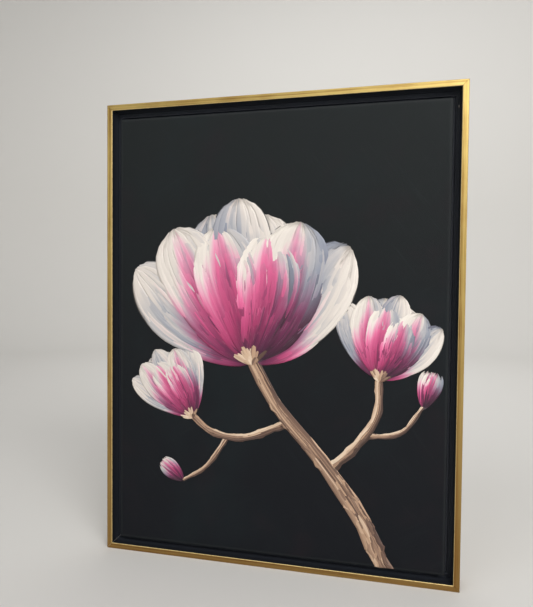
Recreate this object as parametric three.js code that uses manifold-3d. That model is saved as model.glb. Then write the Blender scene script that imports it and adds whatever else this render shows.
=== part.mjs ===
// A painted canvas on a wooden stretcher, held in a floater frame, with two ring hangers behind it.
// Units are millimetres. +X is to the right and +Z is up as the picture is seen, and +Y goes into the wall.
// The origin is the middle of the back face of the frame's top rail, which lies on the wall.
import * as THREE from 'three';
import { mergeVertices } from 'three/addons/utils/BufferGeometryUtils.js';
import Module from 'manifold-3d';

const wasm = await Module();
wasm.setup();

// Canvas: an 18 by 24 inch panel on bars that make it 19 mm deep
const CANVAS_WIDTH = 457.2;
const CANVAS_HEIGHT = 609.6;
const CANVAS_DEPTH = 19;
const CLOTH = 1;
const CLOTH_EDGE_ROUND = 1.6;
const CLOTH_CORNER_ROUND = 1.9;
const TURNOVER = 24;

// Frame: the moulding's section, measured from its outer edge and from its back
const LIP_WIDTH = 8;
const LIP_ROUND = 1;
const REVEAL = 9.5;
const FRAME_DEPTH = 38;
const CANVAS_SET_BACK = 7;
const CANVAS_DROP = 1.8;
const STEP_DEPTH = 20;
const STEP_WIDTH = 5;
const MOULDING_WIDTH = 30;
const EDGE_CHAMFER = 0.6;

// Fits: the gap left between pieces that touch, and the same gap seen along a mitred end
const GAP = 0.3;
const MITRE_GAP = 0.22;

// Stretcher bars: the front face falls away from the cloth, so that only the outer bead touches it
const BAR_WIDTH = 38;
const BEAD_WIDTH = 5;
const BEAD_ROUND = 2;
const BAR_SLOPE = 3;

// Corner keys: thin wedges, two in each corner, crossing at different depths
const KEY_THICKNESS = 2.6;
const KEY_SUNK = 13;
const KEY_TAIL = 14;
const KEY_TIP_WIDTH = 5;
const KEY_TAIL_WIDTH = 9;
const KEY_DEPTHS = [4.4, 8.6];

// Screws that hold the stretcher to the frame, two through each rail
const SCREW_RADIUS = 1.6;
const SCREW_HEAD_RADIUS = 3.4;
const SCREW_HEAD_DEPTH = 2;
const SCREW_SUNK = 0.4;
const SCREW_LENGTH = 23;
const SCREW_TIP = 3;
const SCREW_INSET = 25;
const SCREW_SHARE = 0.28;

// Hangers: a ring in a folded strap, one on each side bar
const HANGER_BELOW_TOP = 170;
const HANGER_INSET = 53;
const STRAP_THICKNESS = 0.8;
const STRAP_LENGTH = 19;
const STRAP_WIDTH = 12;
const STRAP_SCREW_REACH = 13;
const STRAP_SCREW_LENGTH = 12;
const PAN_HEAD_RADIUS = 3.2;
const PAN_HEAD_HEIGHT = 2;
const WIRE_RADIUS = 1.2;
const RING_PLAY = 0.4;
const RING_HALF_WIDTH = 9;
const RING_STRAIGHT = 3;
const RING_CORNER_ROUND = 1.5;

// Bumpers at the lower corners of the back
const BUMPER_RADIUS = 5;
const BUMPER_HEIGHT = 3;
const BUMPER_INSET = 20;

// How far a cutting tool runs past the face it opens, how near two corners are one, and how finely
// round shapes are divided
const DRILL_CLEAR = 1;
const MERGE_WITHIN = 1e-4;
const ROUND_SIDES = 18;
const ARC_STEPS = 4;
const CORNER_STEPS = 1;
const OUTLINE_STEPS = 5;

const FRAME_WIDTH = CANVAS_WIDTH + 2 * (REVEAL + LIP_WIDTH);
const FRAME_HEIGHT = CANVAS_HEIGHT + 2 * (REVEAL + LIP_WIDTH);
const CANVAS_FRONT = CANVAS_SET_BACK - FRAME_DEPTH;
const CANVAS_BACK = CANVAS_FRONT + CANVAS_DEPTH;
const LEDGE = CANVAS_BACK + GAP;
const BAR_FRONT = CANVAS_FRONT + CLOTH + GAP;
const BAR_BACK = CANVAS_BACK - CLOTH - GAP;
const STRETCHER_WIDTH = CANVAS_WIDTH - 2 * (CLOTH + GAP);
const STRETCHER_HEIGHT = CANVAS_HEIGHT - 2 * (CLOTH + GAP);
const HOLLOW_WIDTH = STRETCHER_WIDTH - 2 * BAR_WIDTH;
const HOLLOW_HEIGHT = STRETCHER_HEIGHT - 2 * BAR_WIDTH;

// The four sides, each by the turn about Y that brings the top side to it
const SIDES = [
  { name: 'top', turn: 0, across: false },
  { name: 'right', turn: Math.PI / 2, across: true },
  { name: 'bottom', turn: Math.PI, across: false },
  { name: 'left', turn: -Math.PI / 2, across: true },
];

function finish(color, roughness, metalness) {
  return new THREE.MeshStandardMaterial({ color, roughness, metalness });
}

const goldPaint = finish(0xc9a868, 0.4, 0.6);
const paintedCloth = finish(0x26292a, 0.75, 0);
const pineWood = finish(0xd9bd8f, 0.7, 0);
const keyWood = finish(0xc59f6b, 0.7, 0);
const zincSteel = finish(0xb9bcc0, 0.35, 0.9);
const nickelSteel = finish(0xc9c7c0, 0.25, 0.9);
const clearRubber = finish(0x8d8a84, 0.6, 0);

// Six times the volume that the triangles enclose, negative where they face inwards
function signedVolume(geometry) {
  const corner = [new THREE.Vector3(), new THREE.Vector3(), new THREE.Vector3()];
  const { index } = geometry;
  let sum = 0;
  for (let i = 0; i < index.count; i += 3) {
    corner.forEach((point, k) => point.fromBufferAttribute(geometry.attributes.position, index.getX(i + k)));
    sum += corner[0].dot(corner[1].cross(corner[2]));
  }
  return sum;
}

// A closed mesh with shared corners, and with its faces pointing out
function closed(geometry) {
  geometry.deleteAttribute('normal');
  geometry.deleteAttribute('uv');
  const merged = mergeVertices(geometry, MERGE_WITHIN);
  if (signedVolume(merged) < 0) {
    merged.index.array.reverse();
  }
  return merged;
}

function toSolid(geometry) {
  const merged = closed(geometry.clone());
  return new wasm.Manifold(new wasm.Mesh({
    numProp: 3,
    vertProperties: new Float32Array(merged.attributes.position.array),
    triVerts: new Uint32Array(merged.index.array),
  }));
}

function fromSolid(solid) {
  const mesh = solid.getMesh();
  const geometry = new THREE.BufferGeometry();
  geometry.setAttribute('position', new THREE.BufferAttribute(new Float32Array(mesh.vertProperties), 3));
  geometry.setIndex(new THREE.BufferAttribute(new Uint32Array(mesh.triVerts), 1));
  return geometry;
}

function cut(geometry, tools) {
  return fromSolid(tools.reduce((rest, tool) => rest.subtract(toSolid(tool)), toSolid(geometry)));
}

function joined(first, second) {
  return fromSolid(toSolid(first).add(toSolid(second)));
}

// A piece turned about the Y axis from points of half its section, radius first
function turned(profile) {
  const points = profile.map(([radius, y]) => new THREE.Vector2(radius, y));
  return closed(new THREE.LatheGeometry(points, ROUND_SIDES));
}

// An outline drawn in X and Z, given thickness from yBack towards the front, with round edges where asked
function plate(outline, yBack, thickness, edge = 0, steps = OUTLINE_STEPS) {
  const geometry = new THREE.ExtrudeGeometry(outline, {
    depth: thickness - 2 * edge,
    bevelEnabled: edge > 0,
    bevelThickness: edge,
    bevelSize: edge,
    bevelOffset: -edge,
    bevelSegments: 3,
    curveSegments: steps,
  });
  geometry.rotateX(Math.PI / 2);
  geometry.translate(0, yBack - edge, 0);
  return closed(geometry);
}

function box(width, yBack, thickness, height) {
  const geometry = new THREE.BoxGeometry(width, thickness, height);
  geometry.translate(0, yBack - thickness / 2, 0);
  return closed(geometry);
}

// A rail with mitred ends: the section's first number is the distance in from the outer edge, its second is Y
function mitredRail(section, length) {
  const geometry = new THREE.ExtrudeGeometry(section, {
    depth: 1,
    bevelEnabled: false,
    curveSegments: ARC_STEPS,
  });
  const { position } = geometry.attributes;
  for (let i = 0; i < position.count; i += 1) {
    const inward = position.getX(i);
    const end = 2 * position.getZ(i) - 1;
    position.setXYZ(i, end * (length / 2 - inward - MITRE_GAP), position.getY(i), -inward);
  }
  return closed(geometry);
}

function mouldingSection() {
  const front = LIP_ROUND - FRAME_DEPTH;
  const step = STEP_DEPTH - FRAME_DEPTH;
  const shelf = LIP_WIDTH + STEP_WIDTH;
  const section = new THREE.Shape();
  section.moveTo(0, -EDGE_CHAMFER);
  section.lineTo(0, front);
  section.absarc(LIP_ROUND, front, LIP_ROUND, Math.PI, 1.5 * Math.PI, false);
  section.absarc(LIP_WIDTH - LIP_ROUND, front, LIP_ROUND, 1.5 * Math.PI, 2 * Math.PI, false);
  section.lineTo(LIP_WIDTH, step);
  section.lineTo(shelf - EDGE_CHAMFER, step);
  section.lineTo(shelf, step + EDGE_CHAMFER);
  section.lineTo(shelf, LEDGE);
  section.lineTo(MOULDING_WIDTH, LEDGE);
  section.lineTo(MOULDING_WIDTH, 0);
  section.lineTo(EDGE_CHAMFER, 0);
  section.closePath();
  return section;
}

function barSection() {
  const section = new THREE.Shape();
  section.moveTo(0, BAR_BACK);
  section.lineTo(0, BAR_FRONT + BEAD_ROUND);
  section.absarc(BEAD_ROUND, BAR_FRONT + BEAD_ROUND, BEAD_ROUND, Math.PI, 1.5 * Math.PI, false);
  section.lineTo(BEAD_WIDTH, BAR_FRONT);
  section.lineTo(BAR_WIDTH, BAR_FRONT + BAR_SLOPE);
  section.lineTo(BAR_WIDTH, BAR_BACK);
  section.closePath();
  return section;
}

function roundedRectangle(width, height, radius) {
  const x = width / 2 - radius;
  const z = height / 2 - radius;
  const outline = new THREE.Shape();
  outline.absarc(x, z, radius, 0, Math.PI / 2, false);
  outline.absarc(-x, z, radius, Math.PI / 2, Math.PI, false);
  outline.absarc(-x, -z, radius, Math.PI, 1.5 * Math.PI, false);
  outline.absarc(x, -z, radius, 1.5 * Math.PI, 2 * Math.PI, false);
  outline.closePath();
  return outline;
}

// The wire's outer or inner edge, which lies spread outside or inside the middle of the wire
function ringOutline(path, spread) {
  const side = RING_HALF_WIDTH + spread;
  const corner = RING_CORNER_ROUND + spread;
  path.moveTo(RING_STRAIGHT, side);
  path.lineTo(-spread + corner, side);
  path.absarc(-spread + corner, side - corner, corner, Math.PI / 2, Math.PI, false);
  path.lineTo(-spread, corner - side);
  path.absarc(-spread + corner, corner - side, corner, Math.PI, 1.5 * Math.PI, false);
  path.lineTo(RING_STRAIGHT, -side);
  path.absarc(RING_STRAIGHT, 0, side, -Math.PI / 2, Math.PI / 2, false);
  return path;
}

// The countersunk screw that holds the stretcher, its head just below the frame's back
function screw() {
  return turned([
    [0, -SCREW_LENGTH],
    [SCREW_RADIUS, SCREW_TIP - SCREW_LENGTH],
    [SCREW_RADIUS, -SCREW_SUNK - SCREW_HEAD_DEPTH],
    [SCREW_HEAD_RADIUS, -SCREW_SUNK],
    [0, -SCREW_SUNK],
  ]);
}

// The hole that clears that screw by a gap all round, and runs out past the back
function screwHole() {
  return turned([
    [0, -SCREW_LENGTH - GAP],
    [SCREW_RADIUS + GAP, SCREW_TIP - SCREW_LENGTH - GAP],
    [SCREW_RADIUS + GAP, -SCREW_SUNK - SCREW_HEAD_DEPTH],
    [SCREW_HEAD_RADIUS + GAP, -SCREW_SUNK],
    [SCREW_HEAD_RADIUS + GAP, DRILL_CLEAR],
    [0, DRILL_CLEAR],
  ]);
}

// The low domed screw that holds a strap
function panScrew() {
  return turned([
    [0, -STRAP_SCREW_LENGTH],
    [SCREW_RADIUS, SCREW_TIP - STRAP_SCREW_LENGTH],
    [SCREW_RADIUS, GAP],
    [PAN_HEAD_RADIUS, GAP],
    [PAN_HEAD_RADIUS, GAP + PAN_HEAD_HEIGHT * 0.4],
    [PAN_HEAD_RADIUS * 0.75, GAP + PAN_HEAD_HEIGHT * 0.85],
    [PAN_HEAD_RADIUS * 0.35, GAP + PAN_HEAD_HEIGHT],
    [0, GAP + PAN_HEAD_HEIGHT],
  ]);
}

const placed = (geometry, x, y, z) => geometry.clone().translate(x, y, z);

// Where the stretcher screws go, in the picture's own X and Z
function screwSpots() {
  const x = FRAME_WIDTH / 2 - SCREW_INSET;
  const z = FRAME_HEIGHT / 2 - SCREW_INSET;
  const spots = [];
  for (const end of [-1, 1]) {
    const letter = end < 0 ? 'a' : 'b';
    spots.push({ name: `top_${letter}`, x: end * SCREW_SHARE * FRAME_WIDTH, z });
    spots.push({ name: `bottom_${letter}`, x: end * SCREW_SHARE * FRAME_WIDTH, z: -z });
    spots.push({ name: `left_${letter}`, x: -x, z: end * SCREW_SHARE * FRAME_HEIGHT });
    spots.push({ name: `right_${letter}`, x, z: end * SCREW_SHARE * FRAME_HEIGHT });
  }
  return spots;
}

const hangerX = FRAME_WIDTH / 2 - HANGER_INSET;
const hangerZ = FRAME_HEIGHT / 2 - HANGER_BELOW_TOP;
const strapScrewX = hangerX + STRAP_SCREW_REACH;

// Every hole in the picture, as a tool in the picture's own frame
function drills() {
  const tools = screwSpots().map(({ x, z }) => placed(screwHole(), x, 0, z));
  const strapTop = CANVAS_BACK + GAP + 2 * STRAP_THICKNESS;
  const strapHole = turned([
    [0, strapTop - STRAP_SCREW_LENGTH - 2 * GAP],
    [SCREW_RADIUS + GAP, strapTop - STRAP_SCREW_LENGTH - 2 * GAP],
    [SCREW_RADIUS + GAP, strapTop + DRILL_CLEAR],
    [0, strapTop + DRILL_CLEAR],
  ]);
  for (const side of [-1, 1]) {
    tools.push(placed(strapHole, side * strapScrewX, 0, hangerZ));
  }
  return tools;
}

// Cuts a placed mesh with tools that are given in the picture's frame
function drill(mesh, tools) {
  mesh.updateWorldMatrix(true, false);
  const inward = mesh.matrixWorld.clone().invert();
  mesh.geometry = cut(mesh.geometry, tools.map((tool) => tool.clone().applyMatrix4(inward)));
}

function named(name, geometry, material) {
  const mesh = new THREE.Mesh(geometry, material);
  mesh.name = name;
  return mesh;
}

function frameRails() {
  const rails = SIDES.map(({ name, turn, across }) => {
    const length = across ? FRAME_HEIGHT : FRAME_WIDTH;
    const rail = named(`frame_${name}`, mitredRail(mouldingSection(), length), goldPaint);
    rail.rotation.y = turn;
    rail.position.x = Math.round(Math.sin(turn)) * FRAME_WIDTH / 2;
    rail.position.z = Math.round(Math.cos(turn)) * FRAME_HEIGHT / 2;
    return rail;
  });
  return rails;
}

// The cloth goes over the front, round the sides and a little way over the back of the bars
function cloth() {
  const outside = plate(
    roundedRectangle(CANVAS_WIDTH, CANVAS_HEIGHT, CLOTH_CORNER_ROUND),
    CANVAS_BACK,
    CANVAS_DEPTH,
    CLOTH_EDGE_ROUND,
    CORNER_STEPS,
  );
  const inside = box(
    CANVAS_WIDTH - 2 * CLOTH,
    CANVAS_BACK - CLOTH,
    CANVAS_DEPTH - 2 * CLOTH,
    CANVAS_HEIGHT - 2 * CLOTH,
  );
  const mouth = box(
    CANVAS_WIDTH - 2 * TURNOVER,
    CANVAS_BACK + DRILL_CLEAR,
    CLOTH + 2 * DRILL_CLEAR,
    CANVAS_HEIGHT - 2 * TURNOVER,
  );
  return named('canvas', cut(outside, [inside, mouth]), paintedCloth);
}

function stretcherBars() {
  return SIDES.map(({ name, turn, across }) => {
    const length = across ? STRETCHER_HEIGHT : STRETCHER_WIDTH;
    const bar = named(`bar_${name}`, mitredRail(barSection(), length), pineWood);
    bar.rotation.y = turn;
    bar.position.x = Math.round(Math.sin(turn)) * STRETCHER_WIDTH / 2;
    bar.position.z = Math.round(Math.cos(turn)) * STRETCHER_HEIGHT / 2;
    return bar;
  });
}

// A key lies along one bar and is driven into the slot of the next. Spare widens it to the slot.
function keyGeometry(level, spare) {
  const tip = -KEY_SUNK - spare;
  const tail = KEY_TAIL;
  const outline = new THREE.Shape();
  outline.moveTo(tip, -GAP + spare);
  outline.lineTo(tail, -GAP + spare);
  outline.lineTo(tail, -KEY_TAIL_WIDTH - spare);
  outline.lineTo(tip, -KEY_TIP_WIDTH - spare);
  outline.closePath();
  return plate(outline, BAR_BACK - KEY_DEPTHS[level] + spare, KEY_THICKNESS + 2 * spare);
}

// The two keys of each corner: one as drawn, and one turned over the corner's diagonal
function keys(spare = 0) {
  const made = [];
  for (const [vertical, z] of [['top', 1], ['bottom', -1]]) {
    for (const [side, x] of [['left', -1], ['right', 1]]) {
      const flat = keyGeometry(0, spare).scale(-x, 1, z);
      flat.translate(x * HOLLOW_WIDTH / 2, 0, z * HOLLOW_HEIGHT / 2);
      const upright = keyGeometry(1, spare);
      upright.applyMatrix4(new THREE.Matrix4().set(0, 0, -1, 0, 0, 1, 0, 0, -1, 0, 0, 0, 0, 0, 0, 1));
      upright.scale(-x, 1, z);
      upright.translate(x * HOLLOW_WIDTH / 2, 0, z * HOLLOW_HEIGHT / 2);
      made.push(named(`key_${vertical}_${side}_flat`, closed(flat), keyWood));
      made.push(named(`key_${vertical}_${side}_upright`, closed(upright), keyWood));
    }
  }
  return made;
}

function stretcherScrews() {
  return screwSpots().map(({ name, x, z }) => {
    const mesh = named(`screw_${name}`, screw(), zincSteel);
    mesh.position.set(x, 0, z);
    return mesh;
  });
}

// A hanger in its own frame: X points into the picture, and the ring turns about the upright line at X = 0
function hanger(name) {
  const group = new THREE.Group();
  const axis = GAP + STRAP_THICKNESS + RING_PLAY + WIRE_RADIUS;
  const loop = WIRE_RADIUS + RING_PLAY;
  const round = (radius, height) => placed(
    new THREE.CylinderGeometry(radius, radius, height, ROUND_SIDES).rotateX(Math.PI / 2),
    0,
    axis,
    0,
  );
  const tongue = new THREE.Shape();
  tongue.moveTo(0, -STRAP_WIDTH / 2);
  tongue.lineTo(0, STRAP_WIDTH / 2);
  tongue.lineTo(STRAP_WIDTH / 2 - STRAP_LENGTH, STRAP_WIDTH / 2);
  tongue.absarc(STRAP_WIDTH / 2 - STRAP_LENGTH, 0, STRAP_WIDTH / 2, Math.PI / 2, 1.5 * Math.PI, false);
  tongue.closePath();
  const flat = plate(tongue, GAP + 2 * STRAP_THICKNESS, 2 * STRAP_THICKNESS);
  const strap = joined(flat, round(loop + STRAP_THICKNESS, STRAP_WIDTH));
  group.add(named(`strap_${name}`, cut(strap, [round(loop, STRAP_WIDTH + 2 * DRILL_CLEAR)]), zincSteel));

  const wire = ringOutline(new THREE.Shape(), WIRE_RADIUS);
  wire.holes.push(ringOutline(new THREE.Path(), -WIRE_RADIUS));
  const ring = plate(wire, axis + WIRE_RADIUS, 2 * WIRE_RADIUS, WIRE_RADIUS * 0.96);
  group.add(named(`ring_${name}`, ring, nickelSteel));

  const fixing = named(`strap_screw_${name}`, panScrew(), zincSteel);
  fixing.position.set(-STRAP_SCREW_REACH, GAP + 2 * STRAP_THICKNESS, 0);
  group.add(fixing);
  return group;
}

function bumper(name, side) {
  const mesh = named(`bumper_${name}`, turned([
    [0, GAP],
    [BUMPER_RADIUS, GAP],
    [BUMPER_RADIUS, BUMPER_HEIGHT * 0.6],
    [BUMPER_RADIUS * 0.85, BUMPER_HEIGHT * 0.9],
    [BUMPER_RADIUS * 0.6, BUMPER_HEIGHT],
    [0, BUMPER_HEIGHT],
  ]), clearRubber);
  mesh.position.set(side * (FRAME_WIDTH / 2 - BUMPER_INSET), 0, (MOULDING_WIDTH - FRAME_HEIGHT) / 2);
  return mesh;
}

// The picture is built round the middle of the frame, with its back face at Y = 0
const picture = new THREE.Group();
const rails = frameRails();
picture.add(...rails);

const panel = new THREE.Group();
panel.position.z = -CANVAS_DROP;
const canvas = cloth();
const bars = stretcherBars();
panel.add(canvas, ...bars, ...keys());
picture.add(panel);

const slots = keys(GAP).map((slot) => slot.geometry.translate(0, 0, -CANVAS_DROP));
const holes = drills();
rails.forEach((rail) => drill(rail, holes));
drill(canvas, holes);
bars.forEach((bar) => drill(bar, [...holes, ...slots]));

picture.add(...stretcherScrews(), bumper('left', -1), bumper('right', 1));
for (const [name, side] of [['left', -1], ['right', 1]]) {
  const group = hanger(name);
  group.position.set(side * hangerX, CANVAS_BACK, hangerZ);
  group.rotation.y = side > 0 ? Math.PI : 0;
  group.updateMatrixWorld(true);
  drill(group.children[0], holes);
  picture.add(group);
}

const model = new THREE.Group();
picture.position.z = (MOULDING_WIDTH - FRAME_HEIGHT) / 2;
model.add(picture);

export default model;
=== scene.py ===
"""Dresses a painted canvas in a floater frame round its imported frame.

Everything is in metres, with +X to the right, +Z up and +Y into the wall, and the origin on the back of
the frame's top rail. Each sub-assembly is a class that builds its own meshes, and each finish is a frozen
dataclass.
"""

import logging
import math
from dataclasses import dataclass, field
from enum import Enum
from typing import Any, Mapping, Sequence

import bmesh
import bpy
import numpy as np
from mathutils import Matrix, Vector


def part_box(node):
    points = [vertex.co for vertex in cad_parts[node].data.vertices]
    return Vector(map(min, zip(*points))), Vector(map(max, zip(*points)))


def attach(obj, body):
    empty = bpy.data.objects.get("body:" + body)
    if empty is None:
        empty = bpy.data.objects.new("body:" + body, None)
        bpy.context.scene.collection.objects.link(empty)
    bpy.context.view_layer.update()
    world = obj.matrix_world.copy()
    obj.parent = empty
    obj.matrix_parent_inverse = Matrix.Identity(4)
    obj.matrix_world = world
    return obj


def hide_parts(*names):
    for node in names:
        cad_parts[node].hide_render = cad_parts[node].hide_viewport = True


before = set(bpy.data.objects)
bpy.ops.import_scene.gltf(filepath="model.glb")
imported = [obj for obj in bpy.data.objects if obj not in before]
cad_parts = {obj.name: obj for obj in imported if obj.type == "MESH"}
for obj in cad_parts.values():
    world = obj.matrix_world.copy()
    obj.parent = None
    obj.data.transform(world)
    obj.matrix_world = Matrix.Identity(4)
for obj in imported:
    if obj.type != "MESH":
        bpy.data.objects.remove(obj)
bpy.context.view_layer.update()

LOG = logging.getLogger("picture")
MM = 0.001
PICTURE_BODY = "picture"
SIDES = ("top", "bottom", "left", "right")
QUARTER = math.pi / 2

Array = np.ndarray
Colour = tuple[float, float, float]
Material = bpy.types.Material
Piece = bpy.types.Object
Socket = bpy.types.NodeSocket


class Lie(Enum):
    """Which way a rail or bar runs."""

    LEVEL = "level"
    UPRIGHT = "upright"

    @classmethod
    def on(cls, side: str) -> "Lie":
        """The way that the rail or bar on one side of the picture runs."""
        return cls.LEVEL if side in ("top", "bottom") else cls.UPRIGHT

    def scale(self, long: float, fine: float) -> tuple[float, float, float]:
        """A pattern's scale: long along the rail, and fine in the other two ways."""
        return (long, fine, fine) if self is Lie.LEVEL else (fine, fine, long)


class Side(Enum):
    """The two sides that carry a hanger, by the sign of their X."""

    LEFT = -1
    RIGHT = 1


def linear(red: float, green: float, blue: float) -> Colour:
    """Turns a display colour, each channel from 0 to 255, into linear light from 0 to 1."""
    return tuple(float(c) for c in to_linear(np.array([red, green, blue], float)))


def to_linear(display: Array) -> Array:
    """Turns an array of display colours, 0 to 255, into linear light by the sRGB curve.

    Args:
        display: Colours of any shape.

    Returns:
        Linear values of the same shape, from 0 to 1.
    """
    share = np.clip(display / 255.0, 0, 1)
    return np.where(share <= 0.04045, share / 12.92, ((share + 0.055) / 1.055) ** 2.4)


class Number:
    """A number that a node gives out. Used in an expression, it adds the Math nodes that work it out."""

    def __init__(self, tree: "Tree", socket: Socket) -> None:
        """Wraps one output socket of a tree."""
        self.tree = tree
        self.socket = socket

    def __add__(self, other: "Number | float") -> "Number":
        """Adds."""
        return self.tree.math("ADD", self, other)

    __radd__ = __add__

    def __sub__(self, other: "Number | float") -> "Number":
        """Takes the other away."""
        return self.tree.math("SUBTRACT", self, other)

    def __rsub__(self, other: "Number | float") -> "Number":
        """Is taken away from the other."""
        return self.tree.math("SUBTRACT", other, self)

    def __mul__(self, other: "Number | float") -> "Number":
        """Multiplies."""
        return self.tree.math("MULTIPLY", self, other)

    __rmul__ = __mul__

    def __pow__(self, power: float) -> "Number":
        """Raises to a power."""
        return self.tree.math("POWER", self, power)

    def __abs__(self) -> "Number":
        """Drops the sign."""
        return self.tree.math("ABSOLUTE", self)

    def least(self, other: "Number | float") -> "Number":
        """The smaller of the two."""
        return self.tree.math("MINIMUM", self, other)

    def most(self, other: "Number | float") -> "Number":
        """The larger of the two."""
        return self.tree.math("MAXIMUM", self, other)

    def sine(self) -> "Number":
        """The sine of an angle in radians."""
        return self.tree.math("SINE", self)

    def toward(self, other: "Number | float", share: "Number") -> "Number":
        """Itself where the share is 0, the other where it is 1, and a mixture between."""
        return self * (1 - share) + share * other

    def bands(self, steepness: float) -> "Number":
        """A wave between -1 and 1, cut into flat bands of 0 and 1 with soft edges."""
        return (self * steepness).least(1.0).most(-1.0) * 0.5 + 0.5

    def rise(self, low: float, high: float) -> "Number":
        """A smooth step: 0 at low, 1 at high, or the other way round where high is the lower.

        Args:
            low: Where the step is 0.
            high: Where it is 1.

        Returns:
            The step.
        """
        node = self.tree.add(
            "ShaderNodeMapRange",
            {"interpolation_type": "SMOOTHSTEP"},
            {"Value": self, "From Min": min(low, high), "From Max": max(low, high)},
        )
        step = Number(self.tree, node.outputs["Result"])
        return step if high > low else 1 - step


class Tree:
    """The node tree of one material, with a Principled shader in front of its output."""

    def __init__(self, name: str) -> None:
        """Starts an empty tree.

        Args:
            name: The material's name.
        """
        self.material = bpy.data.materials.new(name)
        self.material.use_nodes = True
        self.nodes = self.material.node_tree.nodes
        self.links = self.material.node_tree.links
        self.nodes.clear()
        output = self.add("ShaderNodeOutputMaterial")
        self.shader = self.add("ShaderNodeBsdfPrincipled")
        self.links.new(self.shader.outputs["BSDF"], output.inputs["Surface"])

    def add(
        self,
        kind: str,
        settings: Mapping[str, Any] | None = None,
        sockets: Mapping[str | int, Any] | None = None,
    ) -> bpy.types.Node:
        """Adds any node.

        Args:
            kind: The node's type.
            settings: Its properties, set first. "stops" are a ramp's positions and colours.
            sockets: Values or links for its inputs, by name or number.

        Returns:
            The node.
        """
        node = self.nodes.new(kind)
        for key, value in (settings or {}).items():
            if key == "stops":
                self._set_stops(node.color_ramp, value)
            else:
                setattr(node, key, value)
        for key, value in (sockets or {}).items():
            self.feed(node.inputs[key], value)
        return node

    @staticmethod
    def _set_stops(ramp: bpy.types.ColorRamp, stops: Sequence[tuple[float, Sequence[float]]]) -> None:
        """Gives a ramp its stops.

        Args:
            ramp: The ramp.
            stops: A position and a colour for each.
        """
        while len(ramp.elements) < len(stops):
            ramp.elements.new(1.0)
        for element, (position, color) in zip(ramp.elements, stops):
            element.position = position
            element.color = (*color[:3], 1.0)

    def feed(self, socket: Socket, value: Any) -> None:
        """Sets a socket to a value, or links what gives it.

        Args:
            socket: The input.
            value: A number, a colour or a vector, or an output that gives one.
        """
        if isinstance(value, Number):
            self.links.new(value.socket, socket)
        elif isinstance(value, Socket):
            self.links.new(value, socket)
        elif isinstance(value, tuple) and len(value) == 3 and socket.type == "RGBA":
            socket.default_value = (*value, 1.0)
        else:
            socket.default_value = value

    def math(self, operation: str, *terms: "Number | float") -> Number:
        """Adds a Math node for an expression."""
        node = self.add("ShaderNodeMath", {"operation": operation}, dict(enumerate(terms)))
        return Number(self, node.outputs[0])

    def place(self) -> Socket:
        """The place on the piece, in its own metres."""
        return self.add("ShaderNodeTexCoord").outputs["Object"]

    def axes(self, vector: Socket | None = None) -> tuple[Number, Number, Number]:
        """Splits a vector, or the place on the piece, into X, Y and Z."""
        parts = self.add("ShaderNodeSeparateXYZ", None, {"Vector": vector or self.place()}).outputs
        return Number(self, parts[0]), Number(self, parts[1]), Number(self, parts[2])

    def attribute(self, name: str) -> bpy.types.Node:
        """The node that reads one of the mesh's own attributes."""
        return self.add("ShaderNodeAttribute", {"attribute_name": name})

    def stretched(self, vector: Socket, scale: Sequence[float]) -> Socket:
        """Scales a vector, so that a pattern on it comes out longer or finer along each axis."""
        node = self.add("ShaderNodeMapping", None, {"Vector": vector, "Scale": Vector(scale)})
        return node.outputs["Vector"]

    def noise(
        self,
        scale: float,
        detail: float = 2.0,
        vector: Socket | None = None,
        roughness: float = 0.5,
    ) -> Number:
        """Smooth noise from 0 to 1, centred on one half.

        Args:
            scale: Features to the metre, or to the unit of the vector.
            detail: How many finer layers it has.
            vector: What it is laid over, or the place on the piece.
            roughness: How strong the finer layers are.

        Returns:
            The noise.
        """
        node = self.add(
            "ShaderNodeTexNoise",
            None,
            {"Vector": vector or self.place(), "Scale": scale, "Detail": detail, "Roughness": roughness},
        )
        return Number(self, node.outputs[0])

    def grain(
        self,
        scale: Sequence[float],
        detail: float,
        roughness: float = 0.5,
        vector: Socket | None = None,
    ) -> Number:
        """Noise drawn out into grain, by a scale for each axis.

        Args:
            scale: Features to the metre along each axis.
            detail: How many finer layers it has.
            roughness: How strong the finer layers are.
            vector: What it is laid over, or the place on the piece.

        Returns:
            The noise.
        """
        return self.noise(1.0, detail, self.stretched(vector or self.place(), scale), roughness)

    def spots(self, scale: float) -> Number:
        """The distance from the nearest of many scattered points, in features."""
        node = self.add("ShaderNodeTexVoronoi", None, {"Vector": self.place(), "Scale": scale})
        return Number(self, node.outputs["Distance"])

    def mix(self, first: Any, second: Any, share: "Number | float", way: str = "MIX") -> Socket:
        """Mixes two colours.

        Args:
            first: The colour at share 0.
            second: The colour at share 1.
            share: How much of the second, from 0 to 1.
            way: The Mix node's blend type.

        Returns:
            The colour's socket.
        """
        settings = {"data_type": "RGBA", "blend_type": way}
        return self.add("ShaderNodeMix", settings, {0: share, 6: first, 7: second}).outputs[2]

    def tint(self, value: Number, stops: Sequence[tuple[float, Sequence[float]]]) -> Socket:
        """Turns a number into a colour by a ramp."""
        return self.add("ShaderNodeValToRGB", {"stops": stops}, {0: value}).outputs["Color"]

    def bump(self, height: Number, distance: float, below: Any = None) -> Socket:
        """A normal from a height.

        Args:
            height: The relief, from 0 to 1.
            distance: How high 1 stands, in metres.
            below: A normal that this relief lies on.

        Returns:
            The normal's socket.
        """
        sockets = {"Height": height, "Distance": distance, "Strength": 1.0}
        if below is not None:
            sockets["Normal"] = below
        return self.add("ShaderNodeBump", None, sockets).outputs["Normal"]

    def finish(self, **inputs: Any) -> Material:
        """Feeds the shader and hands over the material.

        Args:
            inputs: The shader's sockets, with _ for each space in their names.

        Returns:
            The finished material.
        """
        for name, value in inputs.items():
            self.feed(self.shader.inputs[name.replace("_", " ")], value)
        return self.material


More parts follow.
